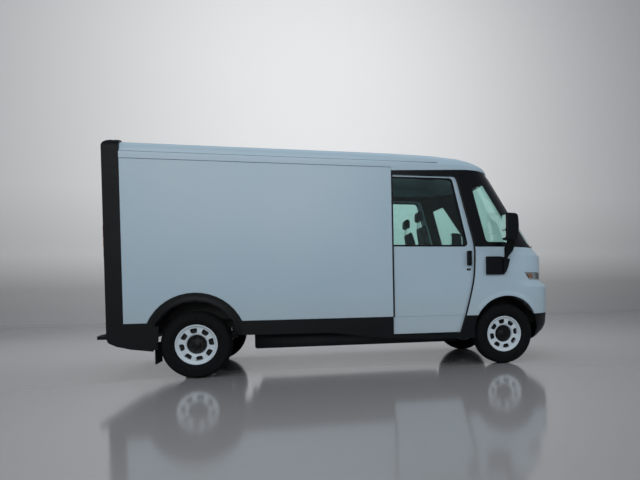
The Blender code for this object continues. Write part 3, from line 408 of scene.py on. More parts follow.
def body_enamel(colour):
    """Baked enamel on folded sheet: a thin orange peel about 4 mm across and road dust near the sills."""
    mat, tree, shader = finish_of("baked_enamel_body",
                                  {"Roughness": 0.40, "Coat Weight": 0.15, "Coat Roughness": 0.2})
    place = add(tree, "TexCoord")
    cloud = add(tree, "TexNoise", {"Scale": 0.9, "Detail": 4.0}, Vector=(place, "Object"))
    tint = ramp(tree, cloud, "Fac", [(0.3, linear(colour)), (0.7, linear("#AAC0CE"))])
    parts = add(tree, "SeparateXYZ", Vector=(place, "Object"))
    low = add(tree, "MapRange", {"From Min": 0.45, "From Max": 1.0, "To Min": 0.55, "To Max": 0.0},
              Value=(parts, "Z"))
    speck = add(tree, "TexNoise", {"Scale": 14.0, "Detail": 8.0, "Roughness": 0.7}, Vector=(place, "Object"))
    dust = add(tree, "Math", {"operation": "MULTIPLY"})
    tree.links.new(low.outputs["Result"], dust.inputs[0])
    tree.links.new(speck.outputs["Fac"], dust.inputs[1])
    mix = add(tree, "MixRGB", {"Color2": linear("#A9AEAE")}, Fac=(dust, "Value"), Color1=(tint, "Color"))
    tree.links.new(mix.outputs["Color"], shader.inputs["Base Color"])
    rough = add(tree, "MapRange", {"To Min": 0.26, "To Max": 0.36}, Value=(speck, "Fac"))
    tree.links.new(rough.outputs["Result"], shader.inputs["Roughness"])
    peel = add(tree, "TexNoise", {"Scale": 125.0, "Detail": 1.0}, Vector=(place, "Object"))
    bump = add(tree, "Bump", {"Strength": 0.08, "Distance": 0.0004}, Height=(peel, "Fac"))
    tree.links.new(bump.outputs["Normal"], shader.inputs["Normal"])
    return mat


def tinted_glass(tint):
    """Tempered float glass: thin, green-blue at its edge, with the faintest film of dust."""
    mat, tree, shader = finish_of("tempered_glass", {
        "Transmission Weight": 1.0, "IOR": 1.45, "Roughness": 0.0, "Base Color": linear(tint)})
    place = add(tree, "TexCoord")
    film = add(tree, "TexNoise", {"Scale": 6.0, "Detail": 6.0}, Vector=(place, "Object"))
    rough = add(tree, "MapRange", {"To Min": 0.0, "To Max": 0.03}, Value=(film, "Fac"))
    tree.links.new(rough.outputs["Result"], shader.inputs["Roughness"])
    return mat


def clear_lens():
    """Hard-coated polycarbonate lens with upright flutes 12 mm apart, coarse enough to show."""
    mat, tree, shader = finish_of("polycarbonate_lens", {
        "Transmission Weight": 1.0, "IOR": 1.58, "Roughness": 0.03, "Base Color": linear("#EDF3F5")})
    place = add(tree, "TexCoord")
    flute = add(tree, "TexWave", {"Scale": 26.0, "bands_direction": "Y", "Distortion": 0.0},
                Vector=(place, "Object"))
    bump = add(tree, "Bump", {"Strength": 0.15, "Distance": 0.001}, Height=(flute, "Fac"))
    tree.links.new(bump.outputs["Normal"], shader.inputs["Normal"])
    return mat


def lamp_colour(name, colour):
    """Dyed acrylic lens over a prismatic back, the prisms 5 mm apart."""
    mat, tree, shader = finish_of(name, {"Base Color": linear(colour), "Roughness": 0.12, "Coat Weight": 0.8,
                                         "Transmission Weight": 0.25})
    place = add(tree, "TexCoord")
    cells = add(tree, "TexVoronoi", {"Scale": 200.0, "feature": "DISTANCE_TO_EDGE"}, Vector=(place, "Object"))
    bump = add(tree, "Bump", {"Strength": 0.4, "Distance": 0.001}, Height=(cells, "Distance"))
    tree.links.new(bump.outputs["Normal"], shader.inputs["Normal"])
    return mat


def tyre_rubber():
    """Cured carbon-black rubber: matt, a little grey with road dust, fine moulding rings."""
    mat, tree, shader = finish_of("cured_tyre_rubber", {"Roughness": 0.8, "Specular IOR Level": 0.2})
    place = add(tree, "TexCoord")
    cloud = add(tree, "TexNoise", {"Scale": 22.0, "Detail": 8.0, "Roughness": 0.65}, Vector=(place, "Object"))
    tint = ramp(tree, cloud, "Fac", [(0.35, linear("#06080A")), (0.75, linear("#0F1215"))])
    tree.links.new(tint.outputs["Color"], shader.inputs["Base Color"])
    grit = add(tree, "TexNoise", {"Scale": 400.0, "Detail": 3.0}, Vector=(place, "Object"))
    bump = add(tree, "Bump", {"Strength": 0.35, "Distance": 0.0006}, Height=(grit, "Fac"))
    tree.links.new(bump.outputs["Normal"], shader.inputs["Normal"])
    return mat


def floor_enamel_painted_shade():
    """Rolled grey enamel with grit 6 mm apart on what faces up; what faces down or out is painted near black
    as painted shade.
    """
    mat = grained("rolled_floor_enamel", "#4A4E52", "#5B5F63", 0.55, 6.0, 0.4)
    tree = mat.node_tree
    shader = tree.nodes["Principled BSDF"]
    enamel = shader.inputs["Base Color"].links[0].from_socket
    facing = add(tree, "NewGeometry")
    parts = add(tree, "SeparateXYZ", Vector=(facing, "True Normal"))
    up = add(tree, "Math", {"operation": "GREATER_THAN"}, Value=(parts, "Z"))
    up.inputs[1].default_value = 0.7
    # Painted shade: faces not pointing up get near-black #0B0C0E, so the wheelhouses and underside read dark.
    mix = add(tree, "MixRGB", {"Color1": linear("#0B0C0E")}, Fac=(up, "Value"))
    tree.links.new(enamel, mix.inputs["Color2"])
    tree.links.new(mix.outputs["Color"], shader.inputs["Base Color"])
    return mat


def woven_cloth(name, colour, other):
    """Flat-woven seat cloth, threads about 5 mm apart, coarser than real so that the weave shows."""
    mat, tree, shader = finish_of(name, {"Roughness": 0.92, "Sheen Weight": 0.35, "Sheen Roughness": 0.5})
    place = add(tree, "TexCoord")
    warp = add(tree, "TexWave", {"Scale": 66.0, "bands_direction": "Y", "Distortion": 0.4},
               Vector=(place, "Object"))
    weft = add(tree, "TexWave", {"Scale": 66.0, "bands_direction": "DIAGONAL", "Distortion": 0.4},
               Vector=(place, "Object"))
    cross = add(tree, "Math", {"operation": "MULTIPLY"})
    tree.links.new(warp.outputs["Fac"], cross.inputs[0])
    tree.links.new(weft.outputs["Fac"], cross.inputs[1])
    cloud = add(tree, "TexNoise", {"Scale": 12.0, "Detail": 6.0}, Vector=(place, "Object"))
    both = add(tree, "Math", {"operation": "ADD"})
    tree.links.new(cross.outputs["Value"], both.inputs[0])
    tree.links.new(cloud.outputs["Fac"], both.inputs[1])
    tint = ramp(tree, both, "Value", [(0.3, linear(colour)), (1.0, linear(other))])
    tree.links.new(tint.outputs["Color"], shader.inputs["Base Color"])
    bump = add(tree, "Bump", {"Strength": 0.5, "Distance": 0.0008}, Height=(cross, "Value"))
    tree.links.new(bump.outputs["Normal"], shader.inputs["Normal"])
    return mat


FINISHES = {}


def finishes():
    """Every finish on the truck, made once."""
    if FINISHES:
        return FINISHES
    s = bpy.context.scene.truck
    FINISHES.update(
        body=body_enamel(s.body_colour),
        # Textured polypropylene: a leathery grain that breaks up the light
        trim=grained("moulded_polypropylene", s.trim_colour, "#080D12", 0.48, 2.2, 0.2,
                     extra={"Specular IOR Level": 0.2}),
        # Gloss-painted frame round the glass: near black, soft reflections
        frame=grained("gloss_black_enamel", "#04070C", "#080C13", 0.25, 4.0, 0.03, 0.05,
                      {"Specular IOR Level": 0.3}),
        # Enamelled pressed steel wheel with brake dust low in its colour
        wheel=grained("enamelled_steel_wheel", s.wheel_colour, "#C0CDD6", 0.38, 5.0, 0.05),
        hub=grained("blackened_steel_hub", "#0A0B0D", "#15171A", 0.5, 3.0, 0.2, 0.1, {"Metallic": 0.4}),
        tyre=tyre_rubber(),
        rubber=grained("extruded_rubber", "#090A0C", "#111316", 0.75, 2.0, 0.1),
        # Skinned-over body sealant: blue grey with a dull skin, so a sealed joint reads as a faint line; along
        # the roof ledge its gutter line also stands as painted shade
        sealant=grained("body_sealant", "#5F7280", "#6E818F", 0.6, 2.0, 0.1),
        glass=tinted_glass(s.glass_tint),
        lens=clear_lens(),
        chrome=grained("vacuum_metallised_reflector", "#D9DCDD", "#E8EAEA", 0.12, 4.0, 0.02, 0.05,
                       {"Metallic": 1.0}),
        chassis=grained("chassis_black_enamel", "#101215", "#1A1D20", 0.5, 3.0, 0.2),
        battery=grained("anodised_battery_tray", "#1D2024", "#2A2E32", 0.45, 3.0, 0.1, 0.08,
                        {"Metallic": 0.6}),
        casting=grained("cast_aluminium", "#7D8184", "#989C9F", 0.42, 1.6, 0.4, 0.1, {"Metallic": 0.9}),
        floor=floor_enamel_painted_shade(),
        liner=grained("painted_wall_liner", "#23282D", "#2D3339", 0.6, 3.0, 0.15),
        dash=grained("grained_abs_dash", "#1B1E21", "#25282C", 0.66, 1.5, 0.3),
        rim_grip=grained("polyurethane_grip", "#121416", "#1B1D20", 0.55, 1.2, 0.25),
        cloth=woven_cloth("woven_seat_cloth", "#1E2226", "#33393F"),
        red=lamp_colour("dyed_acrylic_red", "#A51216"),
        amber=lamp_colour("dyed_acrylic_amber", "#D8791A"),
        white=lamp_colour("dyed_acrylic_clear", "#D9DEE0"),
        zinc=grained("zinc_plated_steel", "#9A9EA1", "#B5B8BA", 0.35, 2.0, 0.1, 0.1, {"Metallic": 1.0}),
    )
    return FINISHES


def paint_node(node, key):
    """Give a carried-over node one of the finishes."""
    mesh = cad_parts[node].data
    mesh.materials.clear()
    mesh.materials.append(finishes()[key])


# ---------------------------------------------------------------- outlines shared by groups
def header_drop(x):
    """How far the roof's edge hangs below the header: in full at the cargo seam, nothing further on."""
    return HEADER_DROP * np.clip((DROP_END_X - np.asarray(x, float)) / (DROP_END_X - SEAM_X), 0, 1)


def door_edge(grow=0.0):
    """Front edge of the side door from bottom to top, moved forward by grow."""
    f = FRONT_AXLE_X + grow
    return [(f - 0.619, 0.445), (f - 0.544, 0.673), (f - 0.434, 1.101), (f - 0.417, 1.318),
            (f - 0.412, 1.574),
            (f - 0.474, 1.808), (f - 0.571, 2.142), (f - 0.640, DOOR_TOP_Z - 0.05), (f - 0.674, DOOR_TOP_Z)]


def door_front(grow=0.0):
    """The same edge as a smooth curve."""
    return smooth_path(door_edge(grow), 60)


def door_zone():
    """Everything behind the side doors' front shut line and under their top shut line."""
    edge = door_front(0.008)
    top = DOOR_TOP_Z + 0.008
    edge[-1, 1] = top
    return np.vstack([[(SEAM_X - 0.5, 0.0), (edge[0, 0], 0.0)], edge, [(SEAM_X - 0.5, top)]])


def window_outline(shrink=0.0):
    """Side door window, seen from the side, made smaller by shrink."""
    f = FRONT_AXLE_X
    low, high = BELT_Z + 0.010 + shrink, DOOR_TOP_Z - 0.024 - shrink
    corners = [(f - 1.560 + shrink, low), (f - 0.500 - shrink, low), (f - 0.715 - shrink, high),
               (f - 1.560 + shrink, high)]
    return rounded(corners, [0.05, 0.075, 0.05, 0.02], 8)


def quarter_outline(shrink=0.0):
    """Quarter glass ahead of the door, seen from the side."""
    f = FRONT_AXLE_X
    return rounded([(f - 0.255 + shrink, 1.620 + shrink), (f + 0.080 - shrink, 1.620 + shrink),
                    (f + 0.060 - shrink, 1.900), (f - 0.276 - shrink * 0.5, 2.400 - shrink),
                    (f - 0.445 + shrink, 2.330 - shrink)], [0.05, 0.03, 0.06, 0.03, 0.02], 6)


def screen_outline(shrink=0.0):
    """Windshield seen from the front, narrower at the top."""
    low, high = BELT_Z + 0.030 + shrink, HEADER_Z - 0.045 - shrink
    return rounded([(-0.87 + shrink, low), (0.87 - shrink, low), (0.77 - shrink, high),
                    (-0.77 + shrink, high)],
                   0.06, 6)


def lamp_outline(shrink=0.0):
    """Headlamp opening seen from the side, slanted at the back and open at the front."""
    f = FRONT_AXLE_X
    return rounded([(f + 0.305 + shrink, 1.225 - shrink), (f + 0.385 + shrink * 0.3, 1.125 + shrink),
                    (f + 1.2, 1.125 + shrink), (f + 1.2, 1.225 - shrink)], [0.012, 0.012, 0, 0], 3)


def arch_drum(radius, sides=120):
    """Drum across the truck at the front arches, which cuts them open."""
    ring = arc(FRONT_ARCH_X, ARCH_CENTRE_Z, radius, 0, 360, sides)[:-1]
    return prism("drum", ring, -2.0, 2.0)


# ---------------------------------------------------------------- body
class TRUCK_OT_body(bpy.types.Operator):
    """Cargo walls, roof, rear surround and step"""

    bl_idname = "truck.body"
    bl_label = "Body"

    def execute(self, context):
        m, s = finishes(), context.scene.truck
        for word, side in SIDES:
            wall = node_copy("cargo_wall_" + word, "cargo_side_" + word, s.edge_radius, 3)
            fit(wall, "body", m["body"], "cargo_wall_" + word)
            y0, y1 = mirrored(side, HALF_WIDTH - 0.0115, HALF_WIDTH - 0.0005)
            seam = block("door_seam_" + word, (SEAM_X + GAP, y0, PANEL_BOTTOM_Z),
                         (SEAM_X + 0.020, y1, DOOR_TOP_Z + 0.02))
            fit(soften(seam, 0.002), "body", m["rubber"])
            y0, y1 = mirrored(side, HALF_WIDTH + GAP, HALF_WIDTH + 0.001)
            bead = prism("roof_bead_" + word,
                         rounded([(WALL_REAR_X + 0.004, HEADER_Z - 0.007), (SEAM_X, HEADER_Z - 0.007),
                         (SEAM_X, HEADER_Z - 0.003), (WALL_REAR_X + 0.004, HEADER_Z - 0.003)], 0.001, 3),
                         y0, y1)
            fit(soften(bead, 0.0), "body", m["sealant"])
            # Gutter seal: a dark sealant line along the roof ledge, partly a real seal and partly painted
            # shade for the shaded recess above the ledge.
            x = np.linspace(WALL_REAR_X + 0.01, FRONT_AXLE_X - 0.9, 30)
            share = np.clip((x - WALL_REAR_X) / (SEAM_X - WALL_REAR_X), 0, 1)
            ledge = HEADER_Z + ROOF_RISE * (0.360 - 0.0125 * share)
            gutter = np.stack([x, np.full(30, side * HALF_WIDTH * 0.9825), ledge + 0.001], 1)
            fit(soften(tube("gutter_seal_shade_line_" + word, gutter, 0.0035, 8), 0.0), "body", m["sealant"])
        self.roof(m)
        self.portal(m)
        step = node_copy("rear_step", "rear_step_slab", 0.006, 3)
        fit(step, "body", m["trim"], "rear_step")
        self.step_treads(m)
        return {"FINISHED"}

    def portal(self, m):
        """Side outline carried across, kept inside an end view with round top corners, less the doorway."""
        r, top = SURROUND_REAR_X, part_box("rear_surround")[1].z
        front = WALL_REAR_X - GAP
        side = np.vstack([[(front, 0.392)], [(front, top)], arc(r + 0.090, top - 0.100, 0.090, 78, 172, 12),
                          [(r, 0.500), (r + 0.018, 0.454), (r + 0.105, 0.410)]])
        half = HALF_WIDTH - 0.001
        end = np.vstack([[(half, 0.3)], arc(half - 0.105, top - 0.105, 0.105, 0, 90, 12),
                         arc(0.105 - half, top - 0.105, 0.105, 90, 180, 12), [(-half, 0.3)]])
        portal = prism("rear_portal", side, -half, half)
        carve(portal, prism("end", end, r - 0.1, front + 0.1, "X"), operation="INTERSECT")
        door = rounded([(-0.91, 0.74), (0.91, 0.74), (0.91, 2.594), (-0.91, 2.594)], 0.03, 5)
        carve(portal, prism("doorway", door, r - 0.1, front + 0.1, "X"))
        fit(soften(portal, 0.008, 3), "body", m["trim"], "rear_surround")

    def roof(self, m):
        """Half sections of (width share, height share) lofted along X, narrowed by the nose's plan curve."""
        half = np.array([(1.0, 0.0), (1.0, 0.18), (1.0, 0.315), (0.998, 0.335), (0.992, 0.345),
                         (0.979, 0.350),
                         (0.975, 0.37), (0.970, 0.50), (0.962, 0.66), (0.955, 0.72), (0.925, 0.85),
                         (0.87, 0.92),
                         (0.81, 0.95), (0.63, 0.975), (0.45, 0.99), (0.22, 0.998), (0.0, 1.0)])
        section = np.vstack([half, (half * (-1, 1))[-2::-1]])
        start, reach = nose_rows(np.array(HEADER_Z - 0.01))
        turn = FRONT_AXLE_X + float(start)
        share = np.r_[0.0, np.sin(np.linspace(0.05, 1, 46) * np.pi / 2) * 0.9985]
        known = [0.0, 0.30, 0.55, 0.74, 0.88, 0.96, 0.992, 1.0]
        heights = np.interp(share, known, [0.81, 0.65, 0.48, 0.34, 0.20, 0.10, 0.04, 0.02])
        heights = np.convolve(np.pad(heights, 3, "edge"), np.ones(7) / 7, "valid")
        x = np.r_[WALL_REAR_X, SEAM_X - 0.4, SEAM_X, SEAM_X + 0.002, turn - 0.45, turn - 0.23,
                  turn + share * float(reach)]
        w = np.r_[np.ones(6), (1 - share ** NOSE_POWER) ** (1 / NOSE_POWER)] * (HALF_WIDTH + 0.0006)
        h = np.r_[1.0, 0.975, 0.965, 0.965, 0.925, 0.885, heights] * ROOF_RISE
        low = HEADER_Z + 2 * GAP - header_drop(x)
        low[:3] = HEADER_Z + 2 * GAP
        skin = np.stack([x[:, None] + 0 * section[:, 0], w[:, None] * section[:, 0],
                         HEADER_Z + 2 * GAP + h[:, None] * section[:, 1]], -1)
        skin[:, section[:, 1] == 0, 2] = low[:, None]
        roof = grid("roof_skin", skin, wrap_v=True, cap_u=True)
        f = FRONT_AXLE_X
        hollow = [(WALL_REAR_X - 0.1, HEADER_Z - 0.1), (f - 0.33, HEADER_Z - 0.1),
                  (f - 0.60, HEADER_Z + ROOF_RISE * 0.50), (WALL_REAR_X - 0.1, HEADER_Z + ROOF_RISE * 0.80)]
        carve(roof, prism("hollow", hollow, -0.967, 0.967))
        fit(soften(roof, 0.0, angle=28), "body", m["body"], "roof_shell")

    def step_treads(self, m):
        """Raised ribs on the step: each a rounded bar 5 mm high, 24 mm apart."""
        x0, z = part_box("rear_step")[0].x + 0.018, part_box("rear_step")[1].z
        for i in range(4):
            x = x0 + i * 0.024
            rib = prism("step_rib_%d" % i,
                        rounded([(x, z - 0.0005), (x + 0.010, z - 0.0005), (x + 0.008, z + 0.005),
                                 (x + 0.002, z + 0.005)],
                        0.002, 2), -0.955, 0.955)
            fit(soften(rib, 0.0), "body", m["rubber"])


class TRUCK_OT_cab(bpy.types.Operator):
    """Fascia, bumper, glass frame, headlamps and arch lips"""

    bl_idname = "truck.cab"
    bl_label = "Cab shell"

    def execute(self, context):
        m = finishes()
        f = FRONT_AXLE_X
        skin = nose_shell("fascia_skin", PANEL_BOTTOM_Z - 0.0083, BELT_Z - 2 * GAP, f - 0.60, 0.0, 0.030)
        carve(skin, prism("doors", door_zone(), -2, 2), arch_drum(FRONT_ARCH_RADIUS),
              *[prism("lamp", lamp_outline(), *mirrored(side, 0.5, 2.0)) for _, side in SIDES])
        fit(soften(skin, 0.004, 2), "body", m["body"], "front_fascia")
        for word, side in SIDES:
            y0, y1 = mirrored(side, DOOR_OUTER_Y - 0.004, HALF_WIDTH + 0.0012)
            near, far = door_front(0.002), door_front(0.016)
            loops = [np.stack([e[:, 0], np.full(len(e), y), e[:, 1]], 1) for e,
                     y in ((near, y0), (far, y0), (far, y1), (near, y1))]
            seal = grid("door_front_seal_" + word, np.array(loops), wrap_u=True, cap_v=True)
            fit(soften(seal, 0.0), "body", m["rubber"])
        band = nose_shell("glass_band_frame", BELT_Z, HEADER_Z - GAP, SEAM_X + GAP, 0.0, 0.030, 130, 0.03)
        low = HEADER_Z - float(header_drop(SEAM_X)) - GAP
        edge = [(SEAM_X - 0.1, low), (SEAM_X + 0.002, low), (DROP_END_X, HEADER_Z - 0.001),
                (DROP_END_X, HEADER_Z + 0.1), (SEAM_X - 0.1, HEADER_Z + 0.1)]
        carve(band, prism("roof_edge", edge, -2, 2))
        carve(band, prism("doors", door_zone(), -2, 2), prism("quarters", quarter_outline(), -2, 2),
              prism("screen", screen_outline(), f - 0.30, f + 2, "X"))
        fit(soften(band, 0.003, 2), "body", m["frame"], "cab_frame")
        bumper = nose_shell("bumper_skin", 0.285, PANEL_BOTTOM_Z - 0.0086, f + 0.20, 0.0, 0.030, 90)
        carve(bumper, arch_drum(FRONT_ARCH_RADIUS))
        fit(soften(bumper, 0.005, 2), "body", m["trim"], "front_bumper")
        self.arch_lips(m)
        self.headlamps(m)
        return {"FINISHED"}

    def arch_lips(self, m):
        """Flare over each front arch: a squared-cosine swell, 9 mm at the opening, gone 90 mm out."""
        a = np.radians(np.linspace(28.5, 150, 60))[:, None]
        s = np.linspace(0, 1, 15)[None, :]
        r = FRONT_ARCH_RADIUS + 0.0005 + 0.090 * s
        x, z = FRONT_ARCH_X + r * np.cos(a), ARCH_CENTRE_Z + r * np.sin(a)
        fade = np.clip(np.minimum(a - a[0], a[-1] - a) / math.radians(6), 0.15, 1)
        rise = 0.0105 * np.cos(np.pi / 2 * s) ** 2 * fade - 0.0015
        for word, side in SIDES:
            base = nose_side_y(x, z)
            top = np.stack([x, side * (base + rise), z], -1)
            under = np.stack([x, side * (base - 0.006), z], -1)
            lip = grid("arch_lip_" + word, np.concatenate([top, under[:, ::-1]], 1), wrap_v=True, cap_u=True)
            fit(soften(lip, 0.0, angle=60), "body", m["body"])

    def headlamps(self, m):
        """Lens that wraps the corner; a reflector tray, two round projectors and a light bar behind it."""
        for word, side in SIDES:
            lens = nose_shell("headlamp_lens_" + word, 1.05, 1.30, FRONT_AXLE_X, 0.001, 0.005, 160, 0.012)
            carve(lens, prism("own", lamp_outline(0.0012), *mirrored(side, 0.501, 2.0)),
                  operation="INTERSECT")
            fit(soften(lens, 0.0, angle=40), "body", m["lens"], "headlamp_" + word)
            tray = nose_shell("headlamp_tray_" + word, 1.05, 1.30, FRONT_AXLE_X, 0.022, 0.004, 160, 0.012)
            carve(tray, prism("own", lamp_outline(0.003), *mirrored(side, 0.503, 2.0)), operation="INTERSECT")
            fit(soften(tray, 0.0, angle=40), "body", m["chrome"])
            for i, y in enumerate((0.62, 0.75)):
                x = float(nose_front_x(y, np.array(1.176))) - 0.020
                profile = [(0.0, 0.004), (0.020, 0.007), (0.027, 0.012), (0.030, 0.012), (0.030, 0.0),
                           (0.0, 0.0)]
                r, h = np.array(profile).T
                a = np.linspace(0, 2 * np.pi, 40, endpoint=False)[:, None]
                points = np.stack([x + h - 0.003 + 0 * a, side * y + r * np.cos(a), 1.176 + r * np.sin(a)],
                                  -1)
                bowl = grid("projector_%s_%d" % (word, i), points, wrap_u=True)
                fit(soften(bowl, 0.0, angle=50), "body", m["chrome"])
            bar = nose_shell("daylight_bar_" + word, 1.206, 1.214, FRONT_AXLE_X, 0.009, 0.005, 160, 0.004)
            y0, y1 = mirrored(side, 0.53, 1.0)
            own = block("own", (FRONT_AXLE_X + 0.2, y0, 1.1), (FRONT_AXLE_X + 2, y1, 1.3))
            carve(bar, own, operation="INTERSECT")
            fit(soften(bar, 0.0, angle=40), "body", m["white"])
            marker = nose_shell("side_marker_" + word, 1.135, 1.215, FRONT_AXLE_X, 0.012, 0.004, 160, 0.012)
            f = FRONT_AXLE_X
            carve(marker,
                  prism("own", [(f + 0.345, 1.205), (f + 0.395, 1.145), (f + 0.47, 1.145), (f + 0.45, 1.205)],
                                *mirrored(side, 0.6, 2.0)), operation="INTERSECT")
            fit(soften(marker, 0.0, angle=40), "body", m["amber"])


class TRUCK_OT_glazing(bpy.types.Operator):
    """Windshield, quarter glass and their gaskets"""

    bl_idname = "truck.glazing"
    bl_label = "Glazing"

    def execute(self, context):
        m, f = finishes(), FRONT_AXLE_X
        screen = nose_shell("windshield_pane", BELT_Z + 0.01, HEADER_Z - 0.01, f - 0.6, 0.004, 0.006, 140,
                            0.03)
        carve(screen, prism("own", screen_outline(GAP), f - 0.3, f + 2, "X"), operation="INTERSECT")
        fit(soften(screen, 0.0, angle=40), "body", m["glass"], "windshield")
        for word, side in SIDES:
            pane = nose_shell("quarter_pane_" + word, 1.60, 2.45, f - 0.6, 0.004, 0.006, 140, 0.03)
            carve(pane, prism("own", quarter_outline(GAP), *mirrored(side, 0.5, 2.0)), operation="INTERSECT")
            fit(soften(pane, 0.0, angle=40), "body", m["glass"], "quarter_glass_" + word)
            ring = quarter_outline(0.004)
            path = np.stack([ring[:, 0], side * (nose_side_y(ring[:, 0], ring[:, 1]) - 0.002), ring[:, 1]], 1)
            gasket = tube("quarter_gasket_" + word, path, 0.0055, 8, up=(0, 1, 0), closed=True)
            fit(soften(gasket, 0.0, angle=60), "body", m["rubber"])
        ring = screen_outline(0.004)
        path = np.stack([nose_front_x(ring[:, 0], ring[:, 1]) - 0.002, ring[:, 0], ring[:, 1]], 1)
        gasket = tube("windshield_gasket", path, 0.006, 8, up=(1, 0, 0), closed=True)
        fit(soften(gasket, 0.0, angle=60), "body", m["rubber"])
        return {"FINISHED"}


class TRUCK_OT_side_doors(bpy.types.Operator):
    """Sliding doors with glass, gasket, pull handle and lock"""

    bl_idname = "truck.side_doors"
    bl_label = "Side doors"

    def execute(self, context):
        for word, side in SIDES:
            self.door(word, side)
        return {"FINISHED"}

    def door(self, word, side):
        """Panel with a window, a rebated sill and a rear stile, then its pane and gasket."""
        m, f, body = finishes(), FRONT_AXLE_X, "side_door_" + word
        rear = f - 1.640
        edge = door_front()
        outline = np.vstack([[(rear, edge[0, 1])], edge, [(rear, DOOR_TOP_Z)]])
        outer = DOOR_OUTER_Y - GAP
        panel = prism("door_panel_" + word, outline, *mirrored(side, DOOR_INNER_Y, outer))
        y0, y1 = mirrored(side, outer - 0.004, outer + 0.1)
        crease = block("crease", (f - 1.7, y0, 0.40), (f, y1, PANEL_BOTTOM_Z))
        carve(panel, prism("window", window_outline(), *mirrored(side, 0.9, 1.1)), crease)
        y0, y1 = mirrored(side, outer - 0.004, outer + 0.0095)
        strip = block("strip", (rear + 0.006, y0, 0.90), (rear + 0.05, y1, 2.30))
        carve(panel, strip, operation="UNION")
        fit(soften(panel, 0.003, 2), body, m["body"], "side_door_" + word)
        middle = (DOOR_INNER_Y + outer) / 2 + 0.006
        pane = prism("door_pane_" + word, window_outline(GAP),
                     *mirrored(side, middle - 0.003, middle + 0.003))
        fit(soften(pane, 0.0), body, m["glass"], "side_door_glass_" + word)
        rings = [window_outline(-0.009), window_outline(-0.008), window_outline(0.014), window_outline(0.015)]
        depth = [-0.002, 0.0022, 0.0022, -0.006]
        loops = [np.stack([r[:, 0], np.full(len(r), side * (outer + d)), r[:, 1]], 1) for r,
                 d in zip(rings, depth)]
        gasket = grid("door_gasket_" + word, np.array(loops), wrap_u=True, wrap_v=True)
        fit(soften(gasket, 0.0, angle=50), body, m["frame"])
        self.handle(m, word, side, body, outer)

    def handle(self, m, word, side, body, outer):
        """Upright pull: a bar of round section bowed out from two feet, over a shallow dark dish."""
        f = FRONT_AXLE_X
        x0, x1 = f - 0.512, f - 0.456
        pull = prism("door_pull_" + word,
                     rounded([(x0, 1.318), (x1, 1.318), (x1, 1.512), (x0, 1.512)], 0.014, 5),
                     *mirrored(side, outer + GAP, outer + 0.040))
        carve(pull,
              prism("grip",
                    rounded([(x0 + 0.006, 1.345), (x1 + 0.1, 1.345), (x1 + 0.1, 1.485), (x0 + 0.006, 1.485)],
                                          0.01, 3), *mirrored(side, outer - 0.01, outer + 0.022)))
        fit(soften(pull, 0.004, 3), body, m["frame"], "side_door_handle_" + word)
        dish = prism("door_pull_dish_" + word,
                     rounded([(x0 - 0.004, 1.322), (x1 + 0.004, 1.322), (x1 + 0.004, 1.508),
                     (x0 - 0.004, 1.508)], 0.012, 5), *mirrored(side, outer - 0.002, outer + 0.0012))
        fit(soften(dish, 0.0), body, m["frame"])
        lock = prism("door_lock_" + word,
                     rounded([(f - 0.518, 1.253), (f - 0.464, 1.253), (f - 0.464, 1.281), (f - 0.518, 1.281)],
                     0.010, 5), *mirrored(side, outer - 0.002, outer + 0.006))
        fit(soften(lock, 0.002, 2), body, m["frame"])
        key = revolved("door_key_barrel_" + word,
                       [(0, 0.006), (0.006, 0.006), (0.0085, 0.008), (0.010, 0.006), (0.010, 0.0),
                       (0, 0)], (f - 0.491, side * outer, 1.267), side, 32, closed=False)
        fit(soften(key, 0.0), body, m["zinc"])


class TRUCK_OT_rear(bpy.types.Operator):
    """Rear doors, their latch and the tail lamps"""

    bl_idname = "truck.rear"
    bl_label = "Rear doors and lamps"

    def execute(self, context):
        m = finishes()
        for word, side in SIDES:
            door = node_copy("rear_door_" + word, "rear_door_panel_" + word, 0.004, 2)
            fit(door, "rear_door_" + word, m["body"], "rear_door_" + word)
            r = SURROUND_REAR_X
            for z in (0.92, 1.16, 1.40):
                low, high = mirrored(side, 0.10, 0.82)
                bead = prism("door_bead_%s_%d" % (word, round(z * 100)),
                             rounded([(low, z), (high, z), (high, z + 0.014),
                             (low, z + 0.014)], 0.006, 4), r - 0.0035, r + 0.001, "X")
                fit(soften(bead, 0.0015, 2), "rear_door_" + word, m["body"])
        seal = block("rear_door_seal", (SURROUND_REAR_X - 0.002, -0.006, 0.75),
                     (SURROUND_REAR_X + 0.002, 0.003, 2.58))
        fit(soften(seal, 0.001), "rear_door_right", m["rubber"])
        lever = node_copy("rear_door_handle", "rear_latch_lever", 0.003, 2)
        fit(lever, "rear_door_handle", m["frame"], "rear_door_handle")
        self.lamps(m, context.scene.truck.lamp_height)
        return {"FINISHED"}

    def lamps(self, m, height):
        """Upright lamp clusters: rounded blocks on the surround's rear face, each a stack of three lenses."""
        r = SURROUND_REAR_X
        for word, side in SIDES:
            y0, y1 = mirrored(side, 0.945, 1.015)
            case = prism("tail_lamp_case_" + word,
                         rounded([(y0, height - 0.20), (y1, height - 0.20), (y1, height + 0.20),
                         (y0, height + 0.20)], 0.02, 5), r - 0.008, r + 0.001, "X")
            fit(soften(case, 0.002, 2), "body", m["frame"])
            for key, low, high in (("red", 0.04, 0.185), ("amber", -0.07, 0.03), ("white", -0.185, -0.08)):
                lens = prism("tail_lens_%s_%s" % (key, word),
                             rounded([(y0 + 0.008, height + low), (y1 - 0.008, height + low),
                             (y1 - 0.008, height + high), (y0 + 0.008, height + high)], 0.012, 5),
                             r - 0.016, r - 0.006, "X")
                fit(soften(lens, 0.003, 3), "body", m[key])


